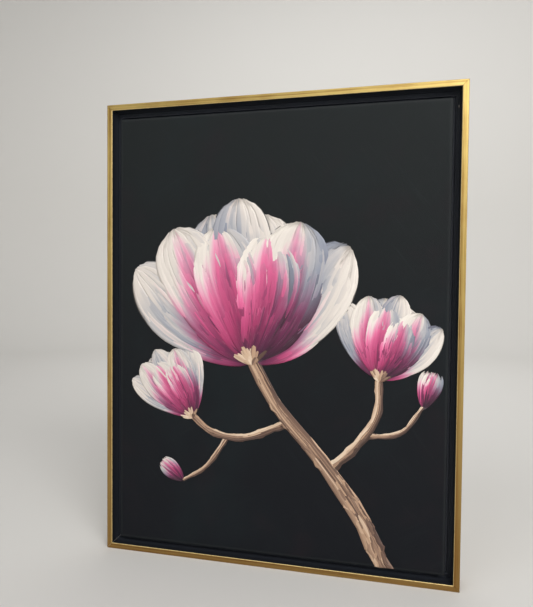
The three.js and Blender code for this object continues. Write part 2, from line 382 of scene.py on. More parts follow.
@dataclass(frozen=True)
class Extent:
    """A box in the row's frame."""

    low: Vector
    high: Vector

    @classmethod
    def of(cls, node: str) -> "Extent":
        """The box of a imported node."""
        return cls(*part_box(node))

    @property
    def middle(self) -> Vector:
        """The middle of the box."""
        return (self.low + self.high) / 2

    @property
    def size(self) -> Vector:
        """The box's three sides."""
        return self.high - self.low


@dataclass(frozen=True)
class GoldMoulding:
    """Satin gold paint on the lip and the outside, matt black in the recess and bare wood behind.

    Fields are the frame's outer box, which way the rail runs, the widths of the lip and of the lip with the
    shelf behind it, how far the gold wraps round the lip's inner edge, the place and size of a nick in the
    black, and the colours.
    """

    outer: Extent
    lie: Lie
    lip: float = 8 * MM
    shelf: float = 13 * MM
    wrap: float = 0.8 * MM
    nick: tuple[float, float] = (0.2363, -0.0118)
    nick_reach: tuple[float, float] = (1.1 * MM, 0.4 * MM)
    gold: Colour = linear(204, 179, 110)
    gold_dark: Colour = linear(146, 110, 54)
    gold_low_painted_shade: Colour = linear(124, 80, 41)
    gold_worn: Colour = linear(104, 66, 38)
    gold_painted_highlight: Colour = linear(226, 200, 138)
    black: Colour = linear(46, 50, 58)
    black_wall_painted_shade: Colour = linear(21, 24, 30)
    black_deep_painted_light: Colour = linear(49, 53, 61)
    black_floor_painted_light: Colour = linear(86, 90, 100)
    black_dusty: Colour = linear(52, 52, 55)
    undercoat: Colour = linear(196, 188, 176)
    wood: Colour = linear(205, 172, 128)
    wood_dark: Colour = linear(168, 130, 88)

    def material(self) -> Material:
        """Builds the finish.

        The distance in from the outer edge is the lesser of the distances from the two nearest sides, so one
        rule bands all four rails and meets itself at the mitres.

        Returns:
            The material for rails that run this way.
        """
        tree = Tree(f"gold_moulding_{self.lie.value}")
        x, y, z = tree.axes()
        size, middle = self.outer.size, self.outer.middle
        inward = (size.x / 2 - abs(x - middle.x)).least(size.z / 2 - abs(z - middle.z))
        depth = y - self.outer.low.y
        brushed = tree.grain(self.lie.scale(14.0, 2600.0), 3.0, 0.6)
        streaky = tree.grain(self.lie.scale(4.0, 620.0), 2.0, 0.6)
        fibre = tree.grain(self.lie.scale(6.0, 420.0), 4.0, 0.6)
        dust = tree.noise(900.0, 2.0)

        wobble = (tree.noise(140.0, 2.0) - 0.5) * (0.8 * MM)
        past_wrap = (depth + wobble).rise(self.wrap - 0.1 * MM, self.wrap + 0.1 * MM)
        recess = inward.rise(self.lip - 0.5 * MM, self.lip - 0.2 * MM) * past_wrap
        behind = y.rise(-0.25 * MM, -0.1 * MM)
        # rim: a band along the lip's inner edge that is painted pale and less metallic, a painted highlight.
        rim = inward.rise(self.lip - 1.2 * MM, self.lip - 0.7 * MM) * depth.rise(0.0, 0.15 * MM)
        rubbed = self._rubbed(tree, inward, depth)
        slop = behind * inward.rise(1.6 * MM, 0.4 * MM) * tree.noise(180.0, 2.0).rise(0.4, 0.55)

        gold = self._gold(tree, z, brushed * 0.45 + streaky * 0.6)
        gold = tree.mix(gold, self.gold_worn, rubbed * 0.7)
        # Painted highlight: pale gold along the lip's inner edge.
        gold = tree.mix(gold, self.gold_painted_highlight, rim * (1 - rubbed))
        wood = tree.tint(fibre, [(0.35, self.wood_dark), (0.6, self.wood)])
        color = tree.mix(gold, self._black(tree, (x, z), inward, depth, dust), recess)
        color = tree.mix(tree.mix(color, wood, behind), self.gold_dark, slop)

        metal = (1 - recess) * (1 - behind) * (1 - rubbed * 0.5) * (1 - rim * 0.55)
        rough = (0.32 + brushed * 0.14 + streaky * 0.1).toward(0.5 + dust * 0.14, recess).toward(0.78, behind)
        grooved = (brushed + streaky) * (1 - behind) * (1 - recess * 0.6)
        relief = grooved + fibre * behind + dust * recess * 0.4
        return tree.finish(
            Base_Color=color,
            Metallic=metal * 0.92,
            Roughness=rough,
            Normal=tree.bump(relief, 0.035 * MM, tree.bump(tree.noise(60.0, 2.0), 0.12 * MM)),
            Specular_IOR_Level=0.3,
        )

    def _rubbed(self, tree: Tree, inward: Number, depth: Number) -> Number:
        """How far the gold is rubbed away: in patches along the lip's outer and inner edges.

        Args:
            tree: The tree.
            inward: The distance in from the outer edge.
            depth: The distance back from the lip's front.

        Returns:
            The share that is rubbed away.
        """
        outer_edge = inward.rise(0.5 * MM, 0.1 * MM) * depth.rise(1.2 * MM, 0.3 * MM)
        inner_edge = (inward - self.lip).rise(-0.6 * MM, -0.1 * MM) * depth.rise(1.0 * MM, 0.2 * MM)
        return outer_edge.most(inner_edge) * tree.noise(260.0, 3.0).rise(0.52, 0.66)

    def _gold(self, tree: Tree, z: Number, streaks: Number) -> Socket:
        """The gold: its tone runs in streaks and clouds, and it is painted darker and browner towards the
        bottom rail, a painted reflection of a dark floor.

        Args:
            tree: The tree.
            z: The height.
            streaks: Noise along the rail.

        Returns:
            The colour.
        """
        cloudy = tree.noise(22.0, 3.0)
        tone = (streaks + cloudy * 0.3 - 0.18).most(0.0).least(1.0)
        fresh = tree.tint(tone, [(0.34, self.gold_dark), (0.58, self.gold)])
        # Painted reflection: darker, browner gold towards the bottom rail, in clouds.
        return tree.mix(fresh, self.gold_low_painted_shade, z.rise(-0.1, -0.62) * (cloudy * 0.5 + 0.35))

    def _black(
        self, tree: Tree, spot: tuple[Number, Number], inward: Number, depth: Number, dust: Number
    ) -> Socket:
        """The recess's black: the wall behind the lip, the shelf and the floor each have their own, with
        painted shade on the wall near the lip and painted light on the deep wall and on the floor.

        Args:
            tree: The tree.
            spot: X and Z.
            inward: The distance in from the outer edge.
            depth: The distance back from the lip's front.
            dust: Fine noise.

        Returns:
            The colour.
        """
        wall = inward.rise(self.lip + 0.4 * MM, self.lip + 0.2 * MM)
        floor = inward.rise(self.shelf - 0.7 * MM, self.shelf - 0.4 * MM)
        # Painted shade on the wall near the lip, painted light deeper down the wall and on the floor past the
        # shelf.
        wall_painted_shading = tree.mix(self.black_wall_painted_shade, self.black_deep_painted_light, depth.rise(6.0 * MM, 18.0 * MM))
        black = tree.mix(tree.mix(self.black, wall_painted_shading, wall), self.black_floor_painted_light, floor)
        black = tree.mix(black, self.black_dusty, dust.rise(0.45, 0.8) * 0.3)
        chips = tree.spots(26.0).rise(0.035, 0.02) * tree.noise(31.0).rise(0.6, 0.66)
        off_x, off_z = spot[0] - self.nick[0], (spot[1] - self.nick[1]) * 0.5
        nick = (off_x * off_x + off_z * off_z).rise(self.nick_reach[0] ** 2, self.nick_reach[1] ** 2)
        return tree.mix(black, self.undercoat, chips.most(nick * 0.6))


@dataclass(frozen=True)
class PaintedCloth:
    """Cotton canvas: charcoal paint over primer on the front and sides, primer behind, raw inside.

    Fields are the canvas's box, half the width and height of its flat front, the pitch of its threads, and
    the colours.
    """

    box: Extent
    rim: tuple[float, float]
    thread: float = 0.62 * MM
    ground_top_painted_light: Colour = linear(20, 25, 26)
    ground_low_painted_shade: Colour = linear(13, 16, 22)
    stroke_light: Colour = linear(38, 44, 46)
    stroke_dark: Colour = linear(9, 10, 12)
    warm: Colour = linear(30, 23, 28)
    cool: Colour = linear(20, 31, 34)
    edge_painted_highlight: Colour = linear(36, 39, 41)
    side: Colour = linear(46, 50, 57)
    primer: Colour = linear(226, 222, 212)
    crease: Colour = linear(120, 114, 104)
    raw: Colour = linear(222, 210, 186)
    raw_dark: Colour = linear(184, 166, 136)

    def material(self) -> Material:
        """Builds the finish on the cloth's own flat coordinates.

        The weave's height is a chequer of two sets of rounded threads, and the paint fills it in part,
        thicker in broad strokes that cross the ground at two slants. Behind, a fold runs in from each corner
        where the ways in from two neighbouring sides are equal, and a darker line is painted along it as
        painted shade.

        Returns:
            The material.
        """
        tree = Tree("painted_cloth")
        flat = tree.attribute("flat").outputs["Vector"]
        inside = Number(tree, tree.attribute("inside").outputs["Fac"])
        across, _, up = tree.axes(flat)
        x, y, z = tree.axes()

        warp, weft = (across * (math.pi / self.thread)).sine(), (up * (math.pi / self.thread)).sine()
        slub = tree.grain((40.0, 1.0, 900.0), 2.0, vector=flat)
        weave = abs(weft).toward(abs(warp), (warp * weft).bands(6.0)) * (0.75 + slub * 0.5)
        thick = tree.noise(16.0, 3.0, flat)
        first = self._strokes(tree, flat, 0.5, (9.0, 1.0, 260.0))
        second = self._strokes(tree, flat, -0.9, (11.0, 1.0, 300.0))
        stroke = second.toward(first, tree.noise(7.0, 2.0, flat).rise(0.42, 0.58))

        sides = (y - self.box.low.y).rise(1.2 * MM, 2.6 * MM)
        painted = tree.mix(self._ground(tree, flat, (across, up), stroke, thick), self.side, sides)
        wavy = y + (tree.noise(90.0, 3.0, flat) - 0.5) * (3.5 * MM)
        ragged = wavy.rise(self.box.high.y - 1.4 * MM, self.box.high.y - 0.6 * MM)
        in_x = abs(x - self.box.middle.x) - self.box.size.x / 2
        in_z = abs(z - self.box.middle.z) - self.box.size.z / 2
        fold = abs(in_x - in_z).rise(0.8 * MM, 0.2 * MM) * ragged * (1 - inside)
        # Painted shade: a darker line along the crease of each folded corner.
        turned = tree.mix(tree.mix(painted, self.primer, ragged), self.crease, fold * 0.7)
        fuzz = tree.noise(1500.0, 2.0, flat).rise(0.42, 0.7)
        raw = tree.mix(self.raw, self.raw_dark, fuzz * 0.6 + slub.rise(0.5, 0.8) * 0.3)

        filled = (0.35 + thick * 0.5).toward(0.8, ragged)
        relief = weave * filled + stroke * 0.9 * (1 - ragged) - fold * 2.0
        return tree.finish(
            Base_Color=tree.mix(turned, raw, inside),
            Roughness=(0.52 + stroke * 0.2 + thick * 0.08).toward(0.95, inside),
            Normal=tree.bump(relief, 0.11 * MM),
            Specular_IOR_Level=0.2,
        )

    def _ground(
        self, tree: Tree, flat: Socket, spot: tuple[Number, Number], stroke: Number, thick: Number
    ) -> Socket:
        """The charcoal ground: painted lighter at the top as painted light, stroked and mottled, with a
        painted highlight along its edge.

        Args:
            tree: The tree.
            flat: The place on the cloth laid flat.
            spot: How far across and up that is.
            stroke: The brush strokes.
            thick: How thick the paint lies.

        Returns:
            The colour.
        """
        across, up = spot
        # Painted light: the ground is lighter towards the top.
        ground = tree.mix(self.ground_low_painted_shade, self.ground_top_painted_light, up.rise(-0.3, 0.3))
        ground = tree.mix(ground, self.stroke_light, stroke.rise(0.5, 0.8) * 0.35)
        ground = tree.mix(ground, self.stroke_dark, (1 - stroke).rise(0.55, 0.85) * 0.4)
        ground = tree.mix(ground, self.warm, thick.rise(0.5, 0.75) * 0.4)
        ground = tree.mix(ground, self.cool, tree.noise(6.0, 3.0, flat).rise(0.5, 0.72) * 0.4)
        # Painted highlight: a lighter band along the front's edge, where its rounding catches the light.
        edge = (self.rim[0] - abs(across)).least(self.rim[1] - abs(up)) + (thick - 0.5) * (2.0 * MM)
        return tree.mix(ground, self.edge_painted_highlight, edge.rise(2.6 * MM, 0.4 * MM) * 0.6)

    @staticmethod
    def _strokes(tree: Tree, flat: Socket, angle: float, scale: Sequence[float]) -> Number:
        """Noise drawn out into strokes, turned by an angle in radians about the middle of the cloth."""
        turned = tree.add("ShaderNodeMapping", None, {"Vector": flat, "Rotation": Vector((0, angle, 0))})
        return tree.grain(scale, 4.0, 0.62, turned.outputs["Vector"])


@dataclass(frozen=True)
class BrushedPaint:
    """Thick paint with bristle marks, its colour carried by the mesh."""

    thin: Colour = (1.0, 0.98, 0.95)
    groove: Colour = (0.62, 0.58, 0.63)
    sweep: Colour = (0.86, 0.84, 0.88)

    def material(self) -> Material:
        """Builds the finish. The bristle attribute is how far along and across a stroke, and its number.

        Returns:
            The material.
        """
        tree = Tree("brushed_paint")
        pigment = tree.attribute("pigment").outputs["Color"]
        bristle = tree.attribute("bristle").outputs["Vector"]
        lines = tree.grain((34.0, 2100.0, 7.0), 3.0, 0.6, bristle)
        broad = tree.grain((22.0, 420.0, 3.0), 2.0, vector=bristle)
        mottle = tree.noise(520.0, 2.0)
        color = tree.mix(pigment, self.thin, lines.rise(0.56, 0.82) * 0.16)
        color = tree.mix(color, self.groove, (1 - lines).rise(0.55, 0.85) * 0.34, "MULTIPLY")
        color = tree.mix(color, self.sweep, broad.rise(0.5, 0.8) * 0.35, "MULTIPLY")
        return tree.finish(
            Base_Color=color,
            Roughness=0.4 + lines * 0.16 + mottle * 0.06,
            Normal=tree.bump(lines * 0.8 + broad * 0.5 + mottle * 0.12, 0.14 * MM),
            Specular_IOR_Level=0.45,
        )


@dataclass(frozen=True)
class PlanedPine:
    """Bare planed softwood with growth rings and fibre along the bar."""

    lie: Lie
    light: Colour = linear(226, 196, 150)
    dark: Colour = linear(190, 148, 98)
    fibre_dark: Colour = linear(150, 108, 66)
    knot: Colour = linear(120, 74, 40)
    ring: float = 3.4 * MM
    heart: float = 45 * MM

    def material(self) -> Material:
        """Builds the finish: rings circle a heart that lies off to one side and wanders along the bar.

        Returns:
            The material.
        """
        tree = Tree(f"planed_pine_{self.lie.value}")
        x, y, z = tree.axes()
        along, across = (x, z) if self.lie is Lie.LEVEL else (z, x)
        off = across + tree.grain(self.lie.scale(1.6, 9.0), 2.0) * 0.03
        up = y + self.heart + along * 0.012
        radius = (off * off + up * up) ** 0.5
        rings = ((radius * (math.tau / self.ring)).sine() * 0.5 + 0.5) ** 2.2
        fibre = tree.grain(self.lie.scale(5.0, 700.0), 3.0, 0.6)
        color = tree.mix(self.light, self.dark, rings * 0.75)
        color = tree.mix(color, self.fibre_dark, fibre.rise(0.56, 0.8) * 0.35)
        color = tree.mix(color, self.knot, tree.spots(7.0).rise(0.05, 0.02) * 0.8)
        return tree.finish(
            Base_Color=color,
            Roughness=0.62 + fibre * 0.2,
            Normal=tree.bump(fibre * 0.7 + rings * 0.3, 0.06 * MM),
            Specular_IOR_Level=0.35,
        )


@dataclass(frozen=True)
class KeyPly:
    """Thin plywood, its layers showing on the edges."""

    layer: float = 0.65 * MM
    face: Colour = linear(214, 178, 128)
    core: Colour = linear(160, 116, 72)
    fibre_dark: Colour = linear(122, 84, 50)

    def material(self) -> Material:
        """Builds the finish: layers are bands in depth, with fibre over them.

        Returns:
            The material.
        """
        tree = Tree("key_ply")
        _, y, _ = tree.axes()
        layers = (y * (math.pi / self.layer)).sine().bands(3.0)
        fibre = tree.grain((240.0, 900.0, 240.0), 3.0, 0.6)
        color = tree.mix(self.face, self.core, layers * 0.6)
        color = tree.mix(color, self.fibre_dark, fibre.rise(0.55, 0.8) * 0.4)
        return tree.finish(Base_Color=color, Roughness=0.6 + fibre * 0.25, Normal=tree.bump(fibre, 0.08 * MM))


@dataclass(frozen=True)
class PlatedSteel:
    """Plated steel: its tint, how rough it is, and how strongly it is flecked."""

    name: str
    tint: Colour
    rough: float
    fleck: float = 0.12

    def material(self) -> Material:
        """Builds the finish: a cloudy plating with fine scratches and darker dirt in places.

        Returns:
            The material.
        """
        tree = Tree(self.name)
        cloud = tree.noise(420.0, 3.0)
        scratch = tree.grain((700.0, 5200.0, 2400.0), 2.0)
        dirty = tuple(c * 0.62 for c in self.tint)
        return tree.finish(
            Base_Color=tree.mix(self.tint, dirty, cloud.rise(0.45, 0.75) * self.fleck * 4),
            Metallic=1.0,
            Roughness=self.rough + cloud * self.fleck + scratch * 0.08,
            Normal=tree.bump(scratch + cloud * 0.5, 0.012 * MM),
        )


@dataclass(frozen=True)
class SoftRubber:
    """A grey rubber bumper, slightly dusty."""

    tint: Colour = linear(120, 118, 114)
    dusty: Colour = linear(168, 165, 158)

    def material(self) -> Material:
        """Builds the finish.

        Returns:
            The material.
        """
        tree = Tree("soft_rubber")
        dust = tree.noise(800.0, 3.0)
        color = tree.mix(self.tint, self.dusty, dust.rise(0.5, 0.72) * 0.5)
        return tree.finish(Base_Color=color, Roughness=0.55 + dust * 0.3, Normal=tree.bump(dust, 0.04 * MM))


@dataclass(frozen=True)
class StudioFloor:
    """A plain pale matt floor, which gives off a little of its own light."""

    tint: Colour = linear(206, 204, 200)
    glow: float = 0.07

    def material(self) -> Material:
        """Builds the finish.

        Returns:
            The material.
        """
        return Tree("studio_floor").finish(
            Base_Color=self.tint,
            Roughness=0.8,
            Specular_IOR_Level=0.2,
            Emission_Color=self.tint,
            Emission_Strength=self.glow,
        )


def grid_faces(rows: int, columns: int, closed_rows: bool = False, closed_columns: bool = False) -> Array:
    """Quads over a grid of points numbered row by row.

    Args:
        rows: Points from the first row to the last.
        columns: Points in a row.
        closed_rows: Whether the last row joins the first.
        closed_columns: Whether the last column joins the first.

    Returns:
        An array of four point numbers for each quad.
    """
    row = np.arange(rows if closed_rows else rows - 1)[:, None]
    column = np.arange(columns if closed_columns else columns - 1)[None, :]
    next_row, next_column = (row + 1) % rows, (column + 1) % columns
    corners = (row * columns + column, next_row * columns + column)
    others = (next_row * columns + next_column, row * columns + next_column)
    return np.stack([*corners, *others], -1).reshape(-1, 4)


def make_piece(
    name: str,
    points: Array,
    faces: Sequence[Sequence[int]],
    material: Material,
    body: str = PICTURE_BODY,
    smooth: bool | Array = True,
) -> Piece:
    """Puts worked-out points and faces into a mesh that rides on a body.

    Args:
        name: The piece's name.
        points: Its points, in the row's frame.
        faces: Point numbers of each face.
        material: Its finish.
        body: The body that it rides on.
        smooth: Whether faces are shaded smooth, for all or for each.

    Returns:
        The piece.
    """
    mesh = bpy.data.meshes.new(name)
    corners = [[int(point) for point in face] for face in faces]
    mesh.from_pydata(np.asarray(points, float).reshape(-1, 3).tolist(), [], corners)
    mesh.polygons.foreach_set("use_smooth", np.broadcast_to(smooth, len(mesh.polygons)).astype(bool))
    mesh.materials.append(material)
    mesh.update()
    piece = bpy.data.objects.new(name, mesh)
    bpy.context.scene.collection.objects.link(piece)
    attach(piece, body)
    LOG.info("%s: %d faces on %s", name, len(mesh.polygons), body)
    return piece


def weld(piece: Piece, gap: float) -> None:
    """Joins points nearer than the gap, drops the empty faces between them and turns faces outwards.

    Args:
        piece: The piece.
        gap: The distance, in metres.
    """
    work = bmesh.new()
    work.from_mesh(piece.data)
    bmesh.ops.remove_doubles(work, verts=work.verts, dist=gap)
    bmesh.ops.recalc_face_normals(work, faces=work.faces)
    work.to_mesh(piece.data)
    work.free()


def bent_wire(path: Array, radius: float, sides: int, closed: bool) -> tuple[Array, Array]:
    """Carries a circle along a line that lies in the plane of the first two axes.

    A point is the line's point, plus the radius times the cosine of its turn along the line's normal, plus
    the radius times the sine along the third axis.

    Args:
        path: The line's points, by two.
        radius: The wire's radius.
        sides: Points round the wire.
        closed: Whether the line's end meets its start.

    Returns:
        Points by three, and quads. An open wire's ends draw in to the line, which closes them.
    """
    ends = np.ones(len(path))
    if closed:
        ahead = np.roll(path, -1, axis=0) - np.roll(path, 1, axis=0)
    else:
        path = np.concatenate([path[:1], path, path[-1:]])
        ends = np.concatenate([[0.0], ends, [0.0]])
        ahead = np.gradient(path, axis=0)
    ahead = ahead / np.linalg.norm(ahead, axis=1, keepdims=True)
    normal = np.stack([-ahead[:, 1], ahead[:, 0]], -1)
    turn = np.linspace(0, math.tau, sides, endpoint=False)
    reach = radius * ends[:, None]
    flat = path[:, None] + normal[:, None] * (reach * np.cos(turn))[..., None]
    points = np.concatenate([flat, (reach * np.sin(turn))[..., None]], -1)
    return points.reshape(-1, 3), grid_faces(len(path), sides, closed, True)


def revolved(profile: Array, sides: int) -> tuple[Array, list[list[int]]]:
    """Turns a profile round the Y axis, which makes one closed form.

    Args:
        profile: Radius and Y of each ring, from the front pole to the back pole, poles left out.
        sides: Points round each ring.

    Returns:
        Points, and faces that point outwards, with a fan's polygon at each end.
    """
    angle = np.linspace(0, math.tau, sides, endpoint=False)
    radius, y = profile[:, 0, None], profile[:, 1, None]
    points = np.stack([radius * np.cos(angle), y + 0 * angle, radius * np.sin(angle)], -1)
    faces = grid_faces(len(profile), sides, closed_columns=True)[:, ::-1].tolist()
    last = (len(profile) - 1) * sides
    faces.append(list(range(sides)))
    faces.append(list(range(last + sides - 1, last - 1, -1)))
    return points.reshape(-1, 3), faces


def dress_node(name: str, material: Material) -> None:
    """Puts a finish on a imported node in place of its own.

    Args:
        name: The node's name.
        material: The finish.
    """
    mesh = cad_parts[name].data
    mesh.materials.clear()
    mesh.materials.append(material)
    LOG.info("%s: %s", name, material.name)


@dataclass
class FloaterFrame:
    """The four mitred rails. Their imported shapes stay, and the finish is laid over them."""

    sides: tuple[str, ...] = SIDES
    outer: Extent = field(init=False)

    def __post_init__(self) -> None:
        """Works out the frame's outer box from the rails."""
        boxes = [Extent.of(f"frame_{side}") for side in self.sides]
        low = Vector(min(box.low[axis] for box in boxes) for axis in range(3))
        high = Vector(max(box.high[axis] for box in boxes) for axis in range(3))
        self.outer = Extent(low, high)

    def dress(self) -> None:
        """Gives each rail the finish that runs its way."""
        gold = {lie: GoldMoulding(self.outer, lie).material() for lie in Lie}
        for side in self.sides:
            dress_node(f"frame_{side}", gold[Lie.on(side)])


@dataclass
class StretchedCanvas:
    """The cloth: a front sheet, sides, and a band turned over the back of the bars."""

    turnover: float = 24 * MM
    edge_round: float = 2.0 * MM
    cloth: float = 0.9 * MM
    cell: float = 4.5 * MM
    bend: float = 8 * MM
    arc_steps: int = 5
    corner_steps: int = 5
    box: Extent = field(default_factory=lambda: Extent.of("canvas"))

    def build(self) -> Piece:
        """The front is a grid. Rings then leave its rim: a ring that reaches out has the rim's points moved
        along each point's own direction, and one that reaches in has them clipped to a smaller rectangle,
        which mitres its corners. Each lies at the section's Y. The inside repeats this, thinner by the
        cloth, and a last grid closes it.

        Returns:
            The cloth.
        """
        size, middle = self.box.size, self.box.middle
        inset = self.edge_round
        half_x, half_z = size.x / 2 - inset, size.z / 2 - inset
        columns, rows = round(size.x / self.cell), round(size.z / self.cell)
        xs, zs = np.linspace(-half_x, half_x, columns + 1), np.linspace(-half_z, half_z, rows + 1)
        rim, outward = self._rim(xs, zs)
        zero = np.zeros(len(rim))

        front = self._sheet(xs, zs, self.box.low.y)
        inner_front = self._sheet(xs, zs, self.box.low.y + self.cloth)
        rings, flats, insides = [], [], []
        for reach, y, way, inside in self._section(inset):
            grown, within = max(reach, 0.0), np.array([half_x, half_z]) + min(reach, 0.0)
            spot = np.clip(rim + outward * grown, -within - grown, within + grown)
            laid = rim + outward * way
            rings.append(np.stack([spot[:, 0], zero + y, spot[:, 1]], -1))
            flats.append(np.stack([laid[:, 0], zero, laid[:, 1]], -1))
            insides.append(zero + inside)
        count = len(front)
        points = np.concatenate([front, *rings, inner_front])
        flat = np.concatenate([front * [1, 0, 1], *flats, inner_front * [1, 0, 1]])
        inside = np.concatenate([np.zeros(count), *insides, np.ones(count)])
        points += [middle.x, 0, middle.z]

        sheet = grid_faces(rows + 1, columns + 1)
        tube = grid_faces(len(rings), len(rim), closed_columns=True) + count
        faces = np.concatenate([sheet, tube, sheet[:, ::-1] + count + len(rings) * len(rim)])
        finish = PaintedCloth(self.box, (half_x, half_z))
        piece = make_piece("stretched_cloth", points, faces, finish.material())
        for name, kind, values in (("flat", "FLOAT_VECTOR", flat), ("inside", "FLOAT", inside)):
            attribute = piece.data.attributes.new(name, kind, "POINT")
            attribute.data.foreach_set("vector" if kind == "FLOAT_VECTOR" else "value", values.ravel())
        weld(piece, 0.05 * MM)
        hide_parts("canvas")
        return piece

    def _sheet(self, xs: Array, zs: Array, y: float) -> Array:
        """A flat grid that dips a hair between the bars, by the product of a bow each way.

        Args:
            xs: The grid's columns.
            zs: The grid's rows.
            y: How far back it lies at its rim.

        Returns:
            The grid's points.
        """
        x, z = np.meshgrid(xs, zs)
        bow = (1 - (x / xs[-1]) ** 2) * (1 - (z / zs[-1]) ** 2)
        ripple = np.sin(x * 41 + 1.3) * np.sin(z * 29 + 0.4)
        return np.stack([x, y + bow * (0.25 + 0.12 * ripple) * MM, z], -1).reshape(-1, 3)

    def _rim(self, xs: Array, zs: Array) -> tuple[Array, Array]:
        """The points round the front's edge, corners repeated, and the way out from each.

        Args:
            xs: The grid's columns.
            zs: The grid's rows.

        Returns:
            X and Z of each point, anticlockwise from the bottom left, and as many unit vectors.
        """
        corners = [(xs[0], zs[0], 180), (xs[-1], zs[0], 270), (xs[-1], zs[-1], 0), (xs[0], zs[-1], 90)]
        runs = [
            np.stack([xs[1:-1], np.full(len(xs) - 2, zs[0])], -1),
            np.stack([np.full(len(zs) - 2, xs[-1]), zs[1:-1]], -1),
            np.stack([xs[-2:0:-1], np.full(len(xs) - 2, zs[-1])], -1),
            np.stack([np.full(len(zs) - 2, xs[0]), zs[-2:0:-1]], -1),
        ]
        spots, ways = [], []
        for (x, z, start), run in zip(corners, runs):
            turn = np.radians(start + np.linspace(0, 90, self.corner_steps))
            spots += [np.tile([x, z], (self.corner_steps, 1)), run]
            fan = np.stack([np.cos(turn), np.sin(turn)], -1)
            ways += [fan, np.tile(fan[-1].round(9), (len(run), 1))]
        return np.concatenate(spots), np.concatenate(ways)

    def _section(self, inset: float) -> list[tuple[float, float, float, bool]]:
        """The cloth's section from the front's rim round to the inside's rim.

        Args:
            inset: How far the rim lies inside the outer edge.

        Returns:
            For each ring, its reach outwards, its Y, the way gone along the cloth, and whether it is inside.
        """
        front, back, r, t = self.box.low.y, self.box.high.y, self.edge_round, self.cloth
        turn = np.linspace(0, QUARTER, self.arc_steps)
        over = np.stack([inset - r + r * np.sin(turn), front + r - r * np.cos(turn)], -1)
        under = np.stack([inset - r + r * np.cos(turn), back - r + r * np.sin(turn)], -1)
        band = [(inset - self.bend, back), (inset - self.turnover, back)]
        inner = [
            (inset - self.turnover, back - t),
            (inset - 2 * t, back - t),
            (inset - t, back - 2 * t),
            (inset - t, front + 2 * t),
            (0.0, front + t),
        ]
        steps = np.concatenate([over, under, band, inner])
        outer = len(steps) - len(inner)
        way = np.concatenate([[0], np.cumsum(np.linalg.norm(np.diff(steps, axis=0), axis=1))])
        way[outer:] = way[outer - 1] - (way[outer:] - way[outer - 1])
        inside = np.arange(len(steps)) >= outer
        return list(zip(*steps.T.tolist(), way.tolist(), inside.tolist()))


class Pigment:
    """The paints on the palette, as display colours from 0 to 255."""

    WARM_WHITE = np.array([236, 228, 218.0])
    WHITE = np.array([217, 208, 200.0])
    COOL_SHADE = np.array([142, 147, 160.0])
    DEEP_SHADE = np.array([84, 84, 100.0])
    BLUSH = np.array([222, 160, 182.0])
    PINK = np.array([204, 92, 136.0])
    MAGENTA = np.array([166, 52, 100.0])
    WINE = np.array([92, 28, 60.0])
    TAN_LIGHT = np.array([226, 203, 178.0])
    TAN = np.array([186, 152, 124.0])
    UMBER = np.array([92, 68, 58.0])


@dataclass(frozen=True)
class Petal:
    """One petal laid flat on the canvas. Lengths are in millimetres and headings in degrees from upright.

    Fields are where it starts, its first heading, how far it turns, how far its tip flares, its length and
    width, how far the pink runs up it, how deep in shade it lies, and whether its hollow side shows.
    """

    root: tuple[float, float]
    heading: float
    bend: float
    flare: float
    length: float
    width: float
    flame: float
    shade: float
    hollow: bool

    def lay(self, t: Array, v: Array) -> tuple[Array, Array]:
        """Where the point at t along and v across lies.

        The heading turns evenly and flares past six tenths, and the middle line is its integral. The whole
        petal sways a little to each side, by a sine of t.

        Args:
            t: The way along, from 0 at the root to 1 at the tip.
            v: The way across, from -1 to 1.

        Returns:
            X and Z of each point, and the unit vector across the petal there.
        """
        steps = np.linspace(0, 1, 201)
        flare = self.flare * np.clip(steps - 0.6, 0, 1) ** 2 * 6.25
        turn = np.radians(self.heading + self.bend * steps + flare)
        step = self.length / 200 * np.stack([np.sin(turn), np.cos(turn)], -1)
        line = np.array(self.root) + np.concatenate([[[0, 0]], np.cumsum(step[:-1], axis=0)])
        at = np.clip(t, 0, 1)
        spot = np.stack([np.interp(at, steps, line[:, k]) for k in range(2)], -1)
        angle = np.interp(at, steps, turn)
        side = np.stack([np.cos(angle), -np.sin(angle)], -1)
        sway = 0.022 * self.width * np.sin(5.5 * at + self.heading)
        return spot + side * (v * self.half_width(at) + sway)[..., None], side

    def half_width(self, t: Array) -> Array:
        """Half the petal's width at t: t to a power, times 1 less t to another, with a faint ripple.

        Args:
            t: The way along, from 0 to 1.

        Returns:
            Half widths in millimetres.
        """
        shape = t**0.72 * np.clip(1 - t**3.1, 0, 1) ** 0.56
        ripple = 1 + 0.035 * np.sin(8.5 * t + self.heading * 0.13)
        return self.width / 2 * (0.16 * (1 - t) ** 2 + shape / 0.665) * ripple


@dataclass(frozen=True)
class Bloom:
    """A cup-shaped flower seen from its side, petals behind first. Lengths are in millimetres."""

    root: tuple[float, float]
    lean: float
    size: float
    open: float = 1.0

    def petals(self) -> list[Petal]:
        """The petals, the hindmost first.

        A row of the plan has heading, bend, flare, length, width, flame, shade and whether it is hollow.

        Returns:
            The nine petals.
        """
        plan = [
            (-15, 10, 0, 0.93, 0.46, 0.34, 0.86, True),
            (17, -12, 0, 0.89, 0.46, 0.34, 0.92, True),
            (1, 2, 0, 0.99, 0.42, 0.38, 0.70, True),
            (-68, 50, -34, 0.97, 0.40, 0.52, 0.46, True),
            (70, -54, 38, 0.92, 0.39, 0.52, 0.56, True),
            (-44, 42, -18, 0.97, 0.45, 0.84, 0.20, False),
            (47, -48, 22, 0.90, 0.45, 0.86, 0.28, False),
            (-19, 23, -8, 0.85, 0.43, 0.98, 0.08, False),
            (24, -22, 14, 0.77, 0.40, 1.0, 0.12, False),
        ]
        made = []
        for heading, bend, flare, length, width, *look in plan:
            turns = (self.lean + heading * self.open, bend * self.open, flare * self.open)
            wide = width * self.size * (0.55 + 0.45 * self.open)
            made.append(Petal(self.root, *turns, length * self.size, wide, *look))
        return made


